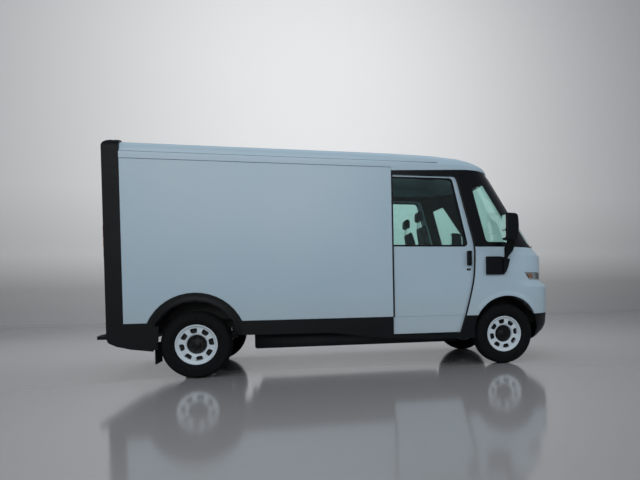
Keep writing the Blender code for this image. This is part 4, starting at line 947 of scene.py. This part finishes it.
class TRUCK_OT_trim(bpy.types.Operator):
    """Skirts, arch flares and mudflaps"""

    bl_idname = "truck.trim"
    bl_label = "Lower trim"

    def execute(self, context):
        m = finishes()
        for word, side in SIDES:
            skirt = node_copy("skirt_" + word, "skirt_moulding_" + word, 0.006, 3)
            fit(skirt, "body", m["trim"], "skirt_" + word)
            self.flare(m, word, side)
            flap = node_copy("mudflap_" + word, "mudflap_sheet_" + word, 0.002, 2)
            fit(flap, "body", m["rubber"], "mudflap_" + word)
        return {"FINISHED"}

    def flare(self, m, word, side):
        """Rolled lip along the rear arch: a ridge of sine section on the skirt's face, inner edge proud."""
        a = np.radians(np.linspace(8, 156, 70))[:, None]
        s = np.linspace(0, 1, 11)[None, :]
        r = 0.4845 + 0.050 * s
        x, z = REAR_AXLE_X + r * np.cos(a), ARCH_CENTRE_Z + r * np.sin(a)
        y = HALF_WIDTH + 0.004 + 0.014 * np.cos(np.pi / 2 * s) ** 1.4
        top = np.stack([x, side * (y + 0 * a), z], -1)
        under = np.stack([x, np.full_like(x, side * (HALF_WIDTH - 0.004)), z], -1)
        lip = grid("arch_flare_" + word, np.concatenate([top, under[:, ::-1]], 1), wrap_v=True, cap_u=True)
        fit(soften(lip, 0.0, angle=60), "body", m["trim"])


class TRUCK_OT_wheels(bpy.types.Operator):
    """Steel wheels and tyres"""

    bl_idname = "truck.wheels"
    bl_label = "Wheels"

    def execute(self, context):
        for end, x in (("front", FRONT_AXLE_X), ("rear", REAR_AXLE_X)):
            for word, side in SIDES:
                self.wheel(end, word, side, (x, side * RIM_FACE_Y, TYRE_RADIUS),
                           context.scene.truck.hand_holes)
        return {"FINISHED"}

    def wheel(self, end, word, side, centre, holes):
        """Rim turned from a profile with hand holes cut through, then brake drum, hub cup, nuts and tyre."""
        m, tag, body = finishes(), end + "_" + word, "wheel_%s_%s" % (end, word)
        r, w = RIM_RADIUS, RIM_WIDTH
        front = smooth_path([(0.109, -0.095), (0.110, -0.060), (0.116, -0.034), (0.128, -0.024),
                             (0.150, -0.021),
                             (0.190, -0.022), (0.208, -0.020), (0.219, -0.010), (0.226, -0.001),
                             (r - 0.005, 0.0), (r, -0.003)], 44)
        back = [(r, -0.012), (r - 0.015, -0.013), (r - 0.034, -0.070), (r - 0.034, -0.120),
                (r - 0.015, -w + 0.013),
                (r, -w + 0.012), (r, -w), (r - 0.012, -w), (r - 0.042, -0.120), (r - 0.042, -0.060),
                (0.188, -0.034),
                (0.132, -0.034), (0.124, -0.044), (0.118, -0.103), (0.0, -0.103), (0.0, -0.095)]
        rim = revolved("steel_wheel_" + tag, np.vstack([front, back]), centre, side, 120, closed=True)
        cutters = []
        for i in range(holes):
            t = math.radians(90 + 10 + 360 / holes * i)
            ring = rounded([(-0.044, 0.029), (0.044, 0.029), (0.034, -0.029), (-0.034, -0.029)], 0.021, 6)
            u, v = ring[:, 0], ring[:, 1] + 0.167
            flat = np.stack([centre[0] + v * math.cos(t) + u * math.sin(t),
                             centre[2] + v * math.sin(t) - u * math.cos(t)], 1)
            cutters.append(prism("hole", flat, *mirrored(side, RIM_FACE_Y - 0.050, RIM_FACE_Y + 0.02)))
        carve(rim, *cutters)
        fit(soften(rim, 0.0025, 2, 50), body, m["wheel"], "rim_" + tag)
        drum = [(0.122, -0.056), (0.180, -0.056), (0.186, -0.062), (0.186, -0.116), (0.176, -0.118),
                (0.122, -0.118)]
        fit(soften(revolved("brake_drum_" + tag, drum, centre, side, 96), 0.0, angle=40), body, m["hub"])
        cup = [(0.0, -0.062), (0.030, -0.062), (0.036, -0.066), (0.038, -0.078), (0.050, -0.082),
               (0.100, -0.084),
               (0.1075, -0.080), (0.1085, -0.048), (0.1085, -0.0945), (0.0, -0.0945)]
        fit(soften(revolved("hub_face_" + tag, cup, centre, side, 72, closed=False), 0.0, angle=40), body,
            m["hub"])
        for i in range(LUG_NUTS):
            t = math.radians(180 / LUG_NUTS + 360 / LUG_NUTS * i)
            nut = revolved("lug_nut_%s_%d" % (tag, i),
                           [(0, -0.066), (0.007, -0.066), (0.010, -0.069), (0.011, -0.083), (0, -0.083)],
                           (centre[0] + 0.074 * math.cos(t), centre[1], centre[2] + 0.074 * math.sin(t)),
                           side, 6, closed=False)
            fit(soften(nut, 0.0, angle=25), body, m["hub"])
        self.tyre(m, tag, side, body, centre)

    def tyre(self, m, tag, side, body, centre):
        """Casing profile turned about the axle: four grooves round the tread, rings on the sidewall."""
        big, r, w = TYRE_RADIUS, RIM_RADIUS, RIM_WIDTH
        wall = [(r - 0.014, -0.0134), (r + 0.0005, -0.0124), (r + 0.004, -0.004), (r + 0.010, 0.004),
                (r + 0.023, 0.010),
                (0.290, 0.0185), (0.294, 0.0212), (0.300, 0.0212), (0.304, 0.020), (0.325, 0.0225),
                (0.350, 0.0195), (0.362, 0.017),
                (0.366, 0.019), (0.371, 0.0165), (0.380, 0.008), (0.389, -0.006), (0.395, -0.018),
                (big - 0.001, -0.030)]
        tread = [(big, -0.034)]
        for z in (-0.060, -0.083, -0.107, -0.130):
            tread += [(big, z + 0.0042), (big - 0.008, z + 0.003), (big - 0.008, z - 0.003),
                      (big, z - 0.0042)]
        tread += [(big, -w + 0.034)]
        far = [(a, -w - h) for a, h in reversed(wall)]
        inner = [(big - 0.015, -0.034), (0.325, 0.008), (r + 0.026, -0.008), (r - 0.013, -0.030)]
        inside = [(a, -w - h) for a, h in reversed(inner)] + inner
        casing = revolved("tyre_casing_" + tag, wall + tread + far + inside, centre, side, 120, closed=True)
        fit(soften(casing, 0.0, angle=32), body, m["tyre"], "tyre_" + tag)


class TRUCK_OT_mirrors(bpy.types.Operator):
    """Door mirrors and wipers"""

    bl_idname = "truck.mirrors"
    bl_label = "Mirrors and wipers"

    def execute(self, context):
        m, f = finishes(), FRONT_AXLE_X
        for word, side in SIDES:
            base = node_copy("mirror_base_" + word, "mirror_foot_" + word, 0.009, 4)
            fit(base, "body", m["trim"], "mirror_base_" + word)
            body = "mirror_arm_" + word
            hx, hy = f - 0.010, side * (HALF_WIDTH + 0.055)
            reach = side * (HALF_WIDTH + 0.210)
            path = smooth_path([(hx, hy, 1.232), (hx, hy, 1.34), (hx + 0.004, hy + side * 0.012, 1.42),
                                (f + 0.025, reach - side * 0.05, 1.58),
                                (f + 0.040, reach, 1.68)], 40)
            t = np.linspace(0, 1, 40)[:, None]
            a = np.linspace(0, 2 * np.pi, 28, endpoint=False)[None, :]
            wide = np.interp(t, [0, 0.42, 0.62, 1], [0.0205, 0.023, 0.058, 0.050])
            flat = np.interp(t, [0, 0.42, 0.62, 1], [0.0205, 0.0205, 0.024, 0.030])
            ring = np.stack([path[:, :1] + wide * np.sign(np.cos(a)) * np.abs(np.cos(a)) ** 0.6,
                             path[:, 1:2] + flat * np.sign(np.sin(a)) * np.abs(np.sin(a)) ** 0.6,
                             path[:, 2:] - 0.35 * wide * np.cos(a) * np.clip((t - 0.2) / 0.3, 0, 1)], -1)
            arm = grid("mirror_bracket_" + word, ring, wrap_v=True, cap_u=True)
            fit(soften(arm, 0.0, angle=50), body, m["trim"], "mirror_arm_" + word)
            shell = rounded([(f - 0.075, 1.640), (f + 0.080, 1.618), (f + 0.112, 1.790), (f + 0.095, 1.978),
                             (f - 0.070, 1.986)],
                            [0.03, 0.05, 0.15, 0.05, 0.03], 8)
            head = prism("mirror_head_" + word, shell,
                         *mirrored(side, HALF_WIDTH + 0.115, HALF_WIDTH + 0.270))
            fit(soften(head, 0.022, 5, 50), body, m["trim"])
            y0, y1 = mirrored(side, HALF_WIDTH + 0.132, HALF_WIDTH + 0.253)
            for part, low, high in (("main", 1.770, 1.960), ("wide", 1.665, 1.757)):
                pane = prism("mirror_glass_%s_%s" % (part, word),
                             rounded([(y0, low), (y1, low), (y1, high), (y0, high)], 0.02, 5),
                             f - 0.078, f - 0.072, "X")
                fit(soften(pane, 0.001, 2), body, m["chrome"])
        self.wipers(m)
        return {"FINISHED"}

    def wipers(self, m):
        """Arm from each spindle and a blade that follows the glass."""
        for word, pivot_y in (("right", -0.06), ("left", 0.56)):
            z = BELT_Z + 0.018
            y = np.linspace(pivot_y, pivot_y - 0.52, 40)
            height = z + 0.012 * np.linspace(0, 1, 40)
            lift = 0.032 * np.interp(np.linspace(0, 1, 40), [0, 0.2, 1], [1.0, 0.8, 0.55])
            path = np.stack([nose_front_x(y, height) + lift, y, height + lift * 0.6], 1)
            arm = tube("wiper_arm_" + word, path, 0.0055, 10)
            fit(soften(arm, 0.0), "wiper_" + word, m["frame"], "wiper_" + word)
            blade = np.stack([nose_front_x(y[6:], height[6:]) + 0.012, y[6:], height[6:] + 0.010], 1)
            fit(soften(tube("wiper_blade_" + word, blade, 0.0045, 8), 0.0), "wiper_" + word, m["rubber"])
            normal = Vector((0.831, 0.105 if word == "left" else -0.105, 0.546)).normalized()
            foot = Vector((float(nose_front_x(np.array(pivot_y), np.array(z))), pivot_y, z))
            path = np.array([foot - normal * 0.009, foot + normal * 0.02, foot + normal * 0.042])
            fit(soften(tube("wiper_spindle_" + word, path, 0.0078, 16, up=(0, 1, 0)), 0.001),
                "wiper_" + word, m["frame"])


class TRUCK_OT_interior(bpy.types.Operator):
    """Dashboard, steering wheel, pedals, bulkhead and floor"""

    bl_idname = "truck.interior"
    bl_label = "Cab interior"

    def execute(self, context):
        m = finishes()
        for node, name, width, key, body, slot in (
                ("dashboard", "dash_moulding", 0.025, "dash", "body", "dash_plastic"),
                ("bulkhead", "bulkhead_panel", 0.004, "liner", "body", "bulkhead_paint"),
                ("bulkhead_door", "bulkhead_door_leaf", 0.006, "liner", "bulkhead_door", "bulkhead_paint"),
                ("brake_pedal", "brake_pedal_pad", 0.003, "rubber", "brake_pedal", "chassis_paint"),
                ("accelerator_pedal", "accelerator_pad", 0.003, "rubber", "accelerator_pedal",
                 "chassis_paint")):
            fit(node_copy(node, name, width, 3), body, m[key], node)
        paint_node("floor_pan", "floor")
        self.steering(m)
        self.instruments(m)
        return {"FINISHED"}

    def steering(self, m):
        """Grip ring with finger waves, hub and three spokes, square to the raked column."""
        centre, axis = np.array([FRONT_AXLE_X - 0.42, 0.45, 1.55]), np.array([0.8, 0.0, -0.6])
        across, up = np.array([0.0, 1.0, 0.0]), np.array([0.6, 0.0, 0.8])
        a = np.linspace(0, 2 * np.pi, 96, endpoint=False)
        ring = centre + 0.2 * (np.cos(a)[:, None] * across + np.sin(a)[:, None] * up)
        grip = tube("steering_grip", ring, 0.0145 + 0.0008 * np.cos(24 * a), 14, up=tuple(axis), closed=True)
        fit(soften(grip, 0.0, angle=60), "steering_wheel", m["rim_grip"], "steering_wheel")
        for i, angle in enumerate((0, 180, 270)):
            t = math.radians(angle)
            out = math.cos(t) * across + math.sin(t) * up
            path = np.array([centre + out * r + axis * d for r,
                             d in ((0.03, 0.010), (0.09, 0.012), (0.15, 0.006), (0.197, 0.0))])
            spoke = tube("steering_spoke_%d" % i, smooth_path(path, 20), np.linspace(0.016, 0.010, 20), 12,
                         up=tuple(axis))
            fit(soften(spoke, 0.0, angle=50), "steering_wheel", m["rim_grip"])
        r, h = smooth_path([(0.0, -0.022), (0.040, -0.021), (0.053, -0.012), (0.055, 0.0), (0.052, 0.012),
                            (0.0, 0.012)], 30).T
        a = a[:, None]
        round_y, round_z = (r * np.cos(a))[..., None] * across, (r * np.sin(a))[..., None] * up
        points = centre + round_y + round_z + (h + 0 * a)[..., None] * axis
        fit(soften(grid("steering_hub", points, wrap_u=True), 0.0, angle=50), "steering_wheel", m["dash"])

    def instruments(self, m):
        """Hooded instrument screen, centre screen and air vents on the dashboard."""
        f = FRONT_AXLE_X
        hood = prism("instrument_hood",
                     rounded([(f - 0.17, 1.450), (f - 0.02, 1.478), (f + 0.02, 1.59), (f - 0.12, 1.60)],
                             0.02, 5), 0.28, 0.62)
        fit(soften(hood, 0.006, 3), "body", m["dash"])
        screen = prism("centre_screen",
                       rounded([(-0.15, 1.36), (0.13, 1.36), (0.13, 1.55), (-0.15, 1.55)], 0.012, 4),
                       f - 0.235, f - 0.20, "X")
        fit(soften(screen, 0.003, 2), "body", m["frame"])
        for i, y in enumerate((-0.74, -0.34, 0.74)):
            for k in range(3):
                z = 1.34 + 0.025 * k
                vane = block("vent_vane_%d_%d" % (i, k), (f - 0.226, y - 0.06, z),
                             (f - 0.205, y + 0.06, z + 0.006))
                fit(soften(vane, 0.0015), "body", m["frame"])


class TRUCK_OT_seats(bpy.types.Operator):
    """Seats: pedestals, padded cushions, backs and head restraints"""

    bl_idname = "truck.seats"
    bl_label = "Seats"

    def execute(self, context):
        m = finishes()
        for who, side in (("passenger", -1), ("driver", 1)):
            base = node_copy(who + "_seat_base", who + "_pedestal", 0.006, 3)
            fit(base, "body", m["chassis"], who + "_seat_base")
            self.pads(m, who, side)
        return {"FINISHED"}

    def pads(self, m, who, side):
        """Cushion, back and head restraint of one seat, each a stuffed pad; the cushion and back with their
        seams.
        """
        low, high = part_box(who + "_seat_cushion")
        x, y, z = high.x, side * 0.45, high.z
        body = "passenger_cushion" if who == "passenger" else "body"
        pad = block("pad", (low.x + 0.020, y - 0.218, low.z + 0.006),
                    (high.x - 0.022, y + 0.218, high.z - 0.025))
        pad = stuff(pad, who + "_cushion_pad", 0.024, low, high)
        stitched(pad, (x - 0.24, y, z), (1, 0, 0), (0, 1, 0),
                 [((-0.22, k * 0.135), (0.22, k * 0.150)) for k in (-1,
                                                                    1)] + [((0.10, -0.145), (0.10, 0.145))])
        fit(pad, body, m["cloth"], who + "_seat_cushion")
        hinge_x, lean = low.x - 0.004, 0.235
        b0, b1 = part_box(who + "_seat_back")
        top = z + 0.66
        outline = rounded([(hinge_x - 0.094, z - 0.105), (hinge_x - 0.026, z - 0.105),
                           (hinge_x - 0.026, z + 0.02),
                           (hinge_x - 0.026 - lean * 0.66, top - 0.03),
                           (hinge_x - 0.062 - lean * 0.66, top - 0.022),
                           (hinge_x - 0.098 - lean * 0.15, z + 0.10)], 0.03, 4)
        back = prism("back", outline, y - 0.218, y + 0.218)
        back = stuff(back, who + "_back_pad", 0.022, b0, b1)
        stitched(back, (hinge_x, y, z), (0, 1, 0), (-lean, 0, 1),
                 [((k * 0.130, 0.02), (k * 0.120, 0.58)) for k in (-1,
                                                                   1)] + [((-0.125, 0.42), (0.125, 0.42))])
        fit(back, "body", m["cloth"], who + "_seat_back")
        hx, hz = hinge_x - 0.05 - lean * 0.75, top + 0.10
        head = prism("head",
                     rounded([(hx - 0.038, hz - 0.06), (hx + 0.038, hz - 0.062), (hx + 0.033, hz + 0.076),
                     (hx - 0.028, hz + 0.078)], 0.025, 4), y - 0.118, y + 0.118)
        head = stuff(head, who + "_headrest_pad", 0.012, b0, b1)
        fit(head, "body", m["cloth"])
        for i, py in enumerate((-0.06, 0.06)):
            path = np.array([(hx - 0.006, y + py, top - 0.06), (hx - 0.003, y + py, top),
                             (hx, y + py, hz - 0.02)])
            bar = tube("%s_headrest_bar_%d" % (who, i), path, 0.006, 12, up=(0, 1, 0))
            fit(soften(bar, 0.0), "body", m["zinc"])


def stuff(shape, name, cap, low, high):
    """Remesh a slightly small solid, inflate it as cloth and keep it in its box. A point travels at most cap,
    less 40% of it times the fourth power of its share of the way out to each wide edge."""
    mod = shape.modifiers.new("even", "REMESH")
    mod.mode, mod.voxel_size = "VOXEL", 0.006
    bake(shape)
    shape.name = shape.data.name = name
    n = len(shape.data.vertices)
    rest = np.empty(n * 3)
    shape.data.vertices.foreach_get("co", rest)
    rest = rest.reshape(-1, 3)
    cloth = shape.modifiers.new("air", "CLOTH")
    cloth.settings.use_pressure = True
    cloth.settings.uniform_pressure_force = 4.0
    cloth.settings.effector_weights.gravity = 0.0
    cloth.settings.quality = 5
    scene = bpy.context.scene
    for step in range(1, 21):
        scene.frame_set(step)
    bake(shape)
    scene.frame_set(1)
    now = np.empty(n * 3)
    shape.data.vertices.foreach_get("co", now)
    move = now.reshape(-1, 3) - rest
    length = np.linalg.norm(move, axis=1, keepdims=True)
    middle, size = (rest.max(0) + rest.min(0)) / 2, np.ptp(rest, axis=0)
    wide = np.argsort(size)[-2:]
    share = 1 - 0.4 * (np.abs(rest - middle)[:, wide] / (size[wide] / 2)) ** 4
    cap = cap * share.prod(1)[:, None]
    move *= np.minimum(1, cap / np.maximum(length, 1e-9))
    placed = np.clip(rest + move, np.array(low) + 0.002, np.array(high) - 0.001)
    shape.data.vertices.foreach_set("co", placed.ravel())
    shape.data.update()
    even = shape.modifiers.new("even", "SMOOTH")
    even.factor, even.iterations = 0.5, 3
    fine = shape.modifiers.new("fine", "SUBSURF")
    fine.levels = fine.render_levels = 1
    bake(shape)
    shape.data.shade_smooth()
    return shape


def stitched(pad, origin, right, up, seams, depth=0.005, width=0.0065):
    """Sewn seams: each vertex that faces out sinks by depth times exp(-(d / width)^2), d being its distance to
    the nearest seam, a straight line given in the plane of right and up."""
    right, up = np.array(Vector(right).normalized()), np.array(Vector(up).normalized())
    facing = np.cross(right, up)
    n = len(pad.data.vertices)
    points, normals = np.empty(n * 3), np.empty(n * 3)
    pad.data.vertices.foreach_get("co", points)
    pad.data.vertices.foreach_get("normal", normals)
    points, normals = points.reshape(-1, 3), normals.reshape(-1, 3)
    flat = np.stack([(points - origin) @ right, (points - origin) @ up], 1)
    gap = np.full(n, 1.0)
    for start, end in np.array(seams):
        run = end - start
        t = np.clip((flat - start) @ run / (run @ run), 0, 1)[:, None]
        gap = np.minimum(gap, np.linalg.norm(flat - start - t * run, axis=1))
    sink = depth * np.exp(-(gap / width) ** 2) * np.clip(2 * (normals @ facing), 0, 1)
    pad.data.vertices.foreach_set("co", (points - normals * sink[:, None]).ravel())
    pad.data.update()


class TRUCK_OT_running_gear(bpy.types.Operator):
    """Frame, battery, axles and drive unit"""

    bl_idname = "truck.running_gear"
    bl_label = "Running gear"

    def execute(self, context):
        m = finishes()
        for node, width, key, slot in (("chassis_frame", 0.004, "chassis", "chassis_paint"),
                                       ("front_subframe", 0.004, "chassis", "chassis_paint"),
                                       ("rear_axle", 0.003, "chassis", "chassis_paint"),
                                       ("battery_case", 0.0, "battery", "battery_cover"),
                                       ("drive_unit", 0.006, "casting", "drive_casting")):
            fit(node_copy(node, node + "_part", width), "body", m[key], node)
        for word, _ in SIDES:
            fit(node_copy("knuckle_" + word, "knuckle_forging_" + word, 0.004), "knuckle_" + word,
                m["chassis"],
                "knuckle_" + word)
        for i in range(9):
            x = REAR_AXLE_X + 0.85 + i * 0.25
            rib = block("battery_rib_%d" % i, (x, -0.60, 0.286), (x + 0.03, 0.60, 0.2905))
            fit(soften(rib, 0.002), "body", m["battery"])
        return {"FINISHED"}


class TRUCK_OT_stage(bpy.types.Operator):
    """Pale floor and wall, painted darker towards the floor as painted shade, soft lights and the camera"""

    bl_idname = "truck.stage"
    bl_label = "Stage"

    def execute(self, context):
        bend = np.linspace(0, np.pi / 2, 24)
        y = np.r_[-30.0, 9.0, 11.0 + 3.0 * np.sin(bend), 14.0]
        z = np.r_[0.0, 0.0, 3.0 - 3.0 * np.cos(bend), 16.0]
        x = np.array([-40.0, 40.0])
        points = np.stack([x[:, None] + 0 * y, y[None] * np.ones((2, 1)), z[None] * np.ones((2, 1))], -1)
        sweep = grid("stage_sweep", points)
        sweep.data.shade_smooth()
        mat, tree, shader = finish_of("studio_sweep_painted_shade", {"Roughness": 0.2, "Specular IOR Level": 0.6})
        place = add(tree, "TexCoord")
        parts = add(tree, "SeparateXYZ", Vector=(place, "Object"))
        # Painted shade: the sweep's colour darkens from #E6E6E6 high on the wall to #929294 on the floor,
        # standing in for light falling off low down.
        shade = add(tree, "MapRange", {"From Min": 0.0, "From Max": 5.0, "To Min": 0.0, "To Max": 1.0},
                    Value=(parts, "Z"))
        tint = ramp(tree, shade, "Result",
                    [(0.0, linear("#929294")), (0.25, linear("#A2A2A2")), (0.5, linear("#D4D4D4")),
                                            (1.0, linear("#E6E6E6"))])
        tree.links.new(tint.outputs["Color"], shader.inputs["Base Color"])
        rough = add(tree, "MapRange", {"From Min": 0.0, "From Max": 0.5, "To Min": 0.11, "To Max": 0.8},
                    Value=(parts, "Z"))
        tree.links.new(rough.outputs["Result"], shader.inputs["Roughness"])
        sweep.data.materials.append(mat)
        for name, place, aim, size, power in (("key", (-2.5, -11.0, 6.5), (0, 0, 1.2), 9.0, 520),
                                              ("over", (0.0, 0.0, 8.5), (0, 0, 0), 8.0, 250),
                                              ("nose", (9.0, -6.0, 4.0), (2.5, 0, 1.2), 4.0, 190),
                                              ("tail", (-8.0, 4.5, 4.5), (-2.5, 0, 1.4), 4.0, 110),
                                              ("wall", (0.0, 2.0, 10.0), (0, 14, 6.0), 14.0, 1500)):
            light = bpy.data.lights.new(name, "AREA")
            light.size, light.energy = size, power
            obj = bpy.data.objects.new(name, light)
            obj.location = place
            obj.rotation_euler = (Vector(aim) - Vector(place)).to_track_quat("-Z", "Y").to_euler()
            obj.visible_glossy = name == "key"
            context.scene.collection.objects.link(obj)
        world = bpy.data.worlds.new("studio")
        context.scene.world = world
        world.use_nodes = True
        world.node_tree.nodes["Background"].inputs["Color"].default_value = linear("#E2EAF2")
        world.node_tree.nodes["Background"].inputs["Strength"].default_value = 0.28
        camera = bpy.data.cameras.new("camera")
        camera.lens, camera.sensor_width = LENS_MM, SENSOR_MM
        camera.shift_x, camera.shift_y = -0.15625, 0.0981
        camera.clip_end = 100
        obj = bpy.data.objects.new("camera", camera)
        context.scene.collection.objects.link(obj)
        turn = (Matrix.Rotation(math.radians(-12.81), 3, "Z") @ Matrix.Rotation(math.radians(-1.31), 3, "X")
                @ Matrix.Rotation(math.radians(0.96), 3, "Y"))
        right, ahead, up = turn.col
        obj.matrix_world = Matrix((right, up, -ahead)).transposed().to_4x4()
        obj.location = context.scene.truck.camera_place
        context.scene.camera = obj
        context.scene.view_settings.view_transform = "Standard"
        return {"FINISHED"}


class TRUCK_PT_panel(bpy.types.Panel):
    """Sidebar list of the groups"""

    bl_idname = "TRUCK_PT_panel"
    bl_label = "Delivery Truck"
    bl_space_type = "VIEW_3D"
    bl_region_type = "UI"
    bl_category = "Truck"

    def draw(self, context):
        settings = context.scene.truck
        for name in settings.__annotations__:
            self.layout.prop(settings, name)
        for operator in OPERATORS:
            self.layout.operator(operator.bl_idname)


OPERATORS = (TRUCK_OT_stage, TRUCK_OT_body, TRUCK_OT_cab, TRUCK_OT_glazing, TRUCK_OT_side_doors,
             TRUCK_OT_rear,
             TRUCK_OT_trim, TRUCK_OT_wheels, TRUCK_OT_mirrors, TRUCK_OT_interior, TRUCK_OT_seats,
             TRUCK_OT_running_gear)
CLASSES = (TruckSettings, *OPERATORS, TRUCK_PT_panel)


def register():
    for cls in CLASSES:
        bpy.utils.register_class(cls)
    bpy.types.Scene.truck = PointerProperty(type=TruckSettings)


def unregister():
    del bpy.types.Scene.truck
    for cls in reversed(CLASSES):
        bpy.utils.unregister_class(cls)


def main():
    register()
    for operator in OPERATORS:
        group, name = operator.bl_idname.split(".")
        getattr(getattr(bpy.ops, group), name)()
    bpy.context.view_layer.update()


if __name__ == "__main__":
    main()
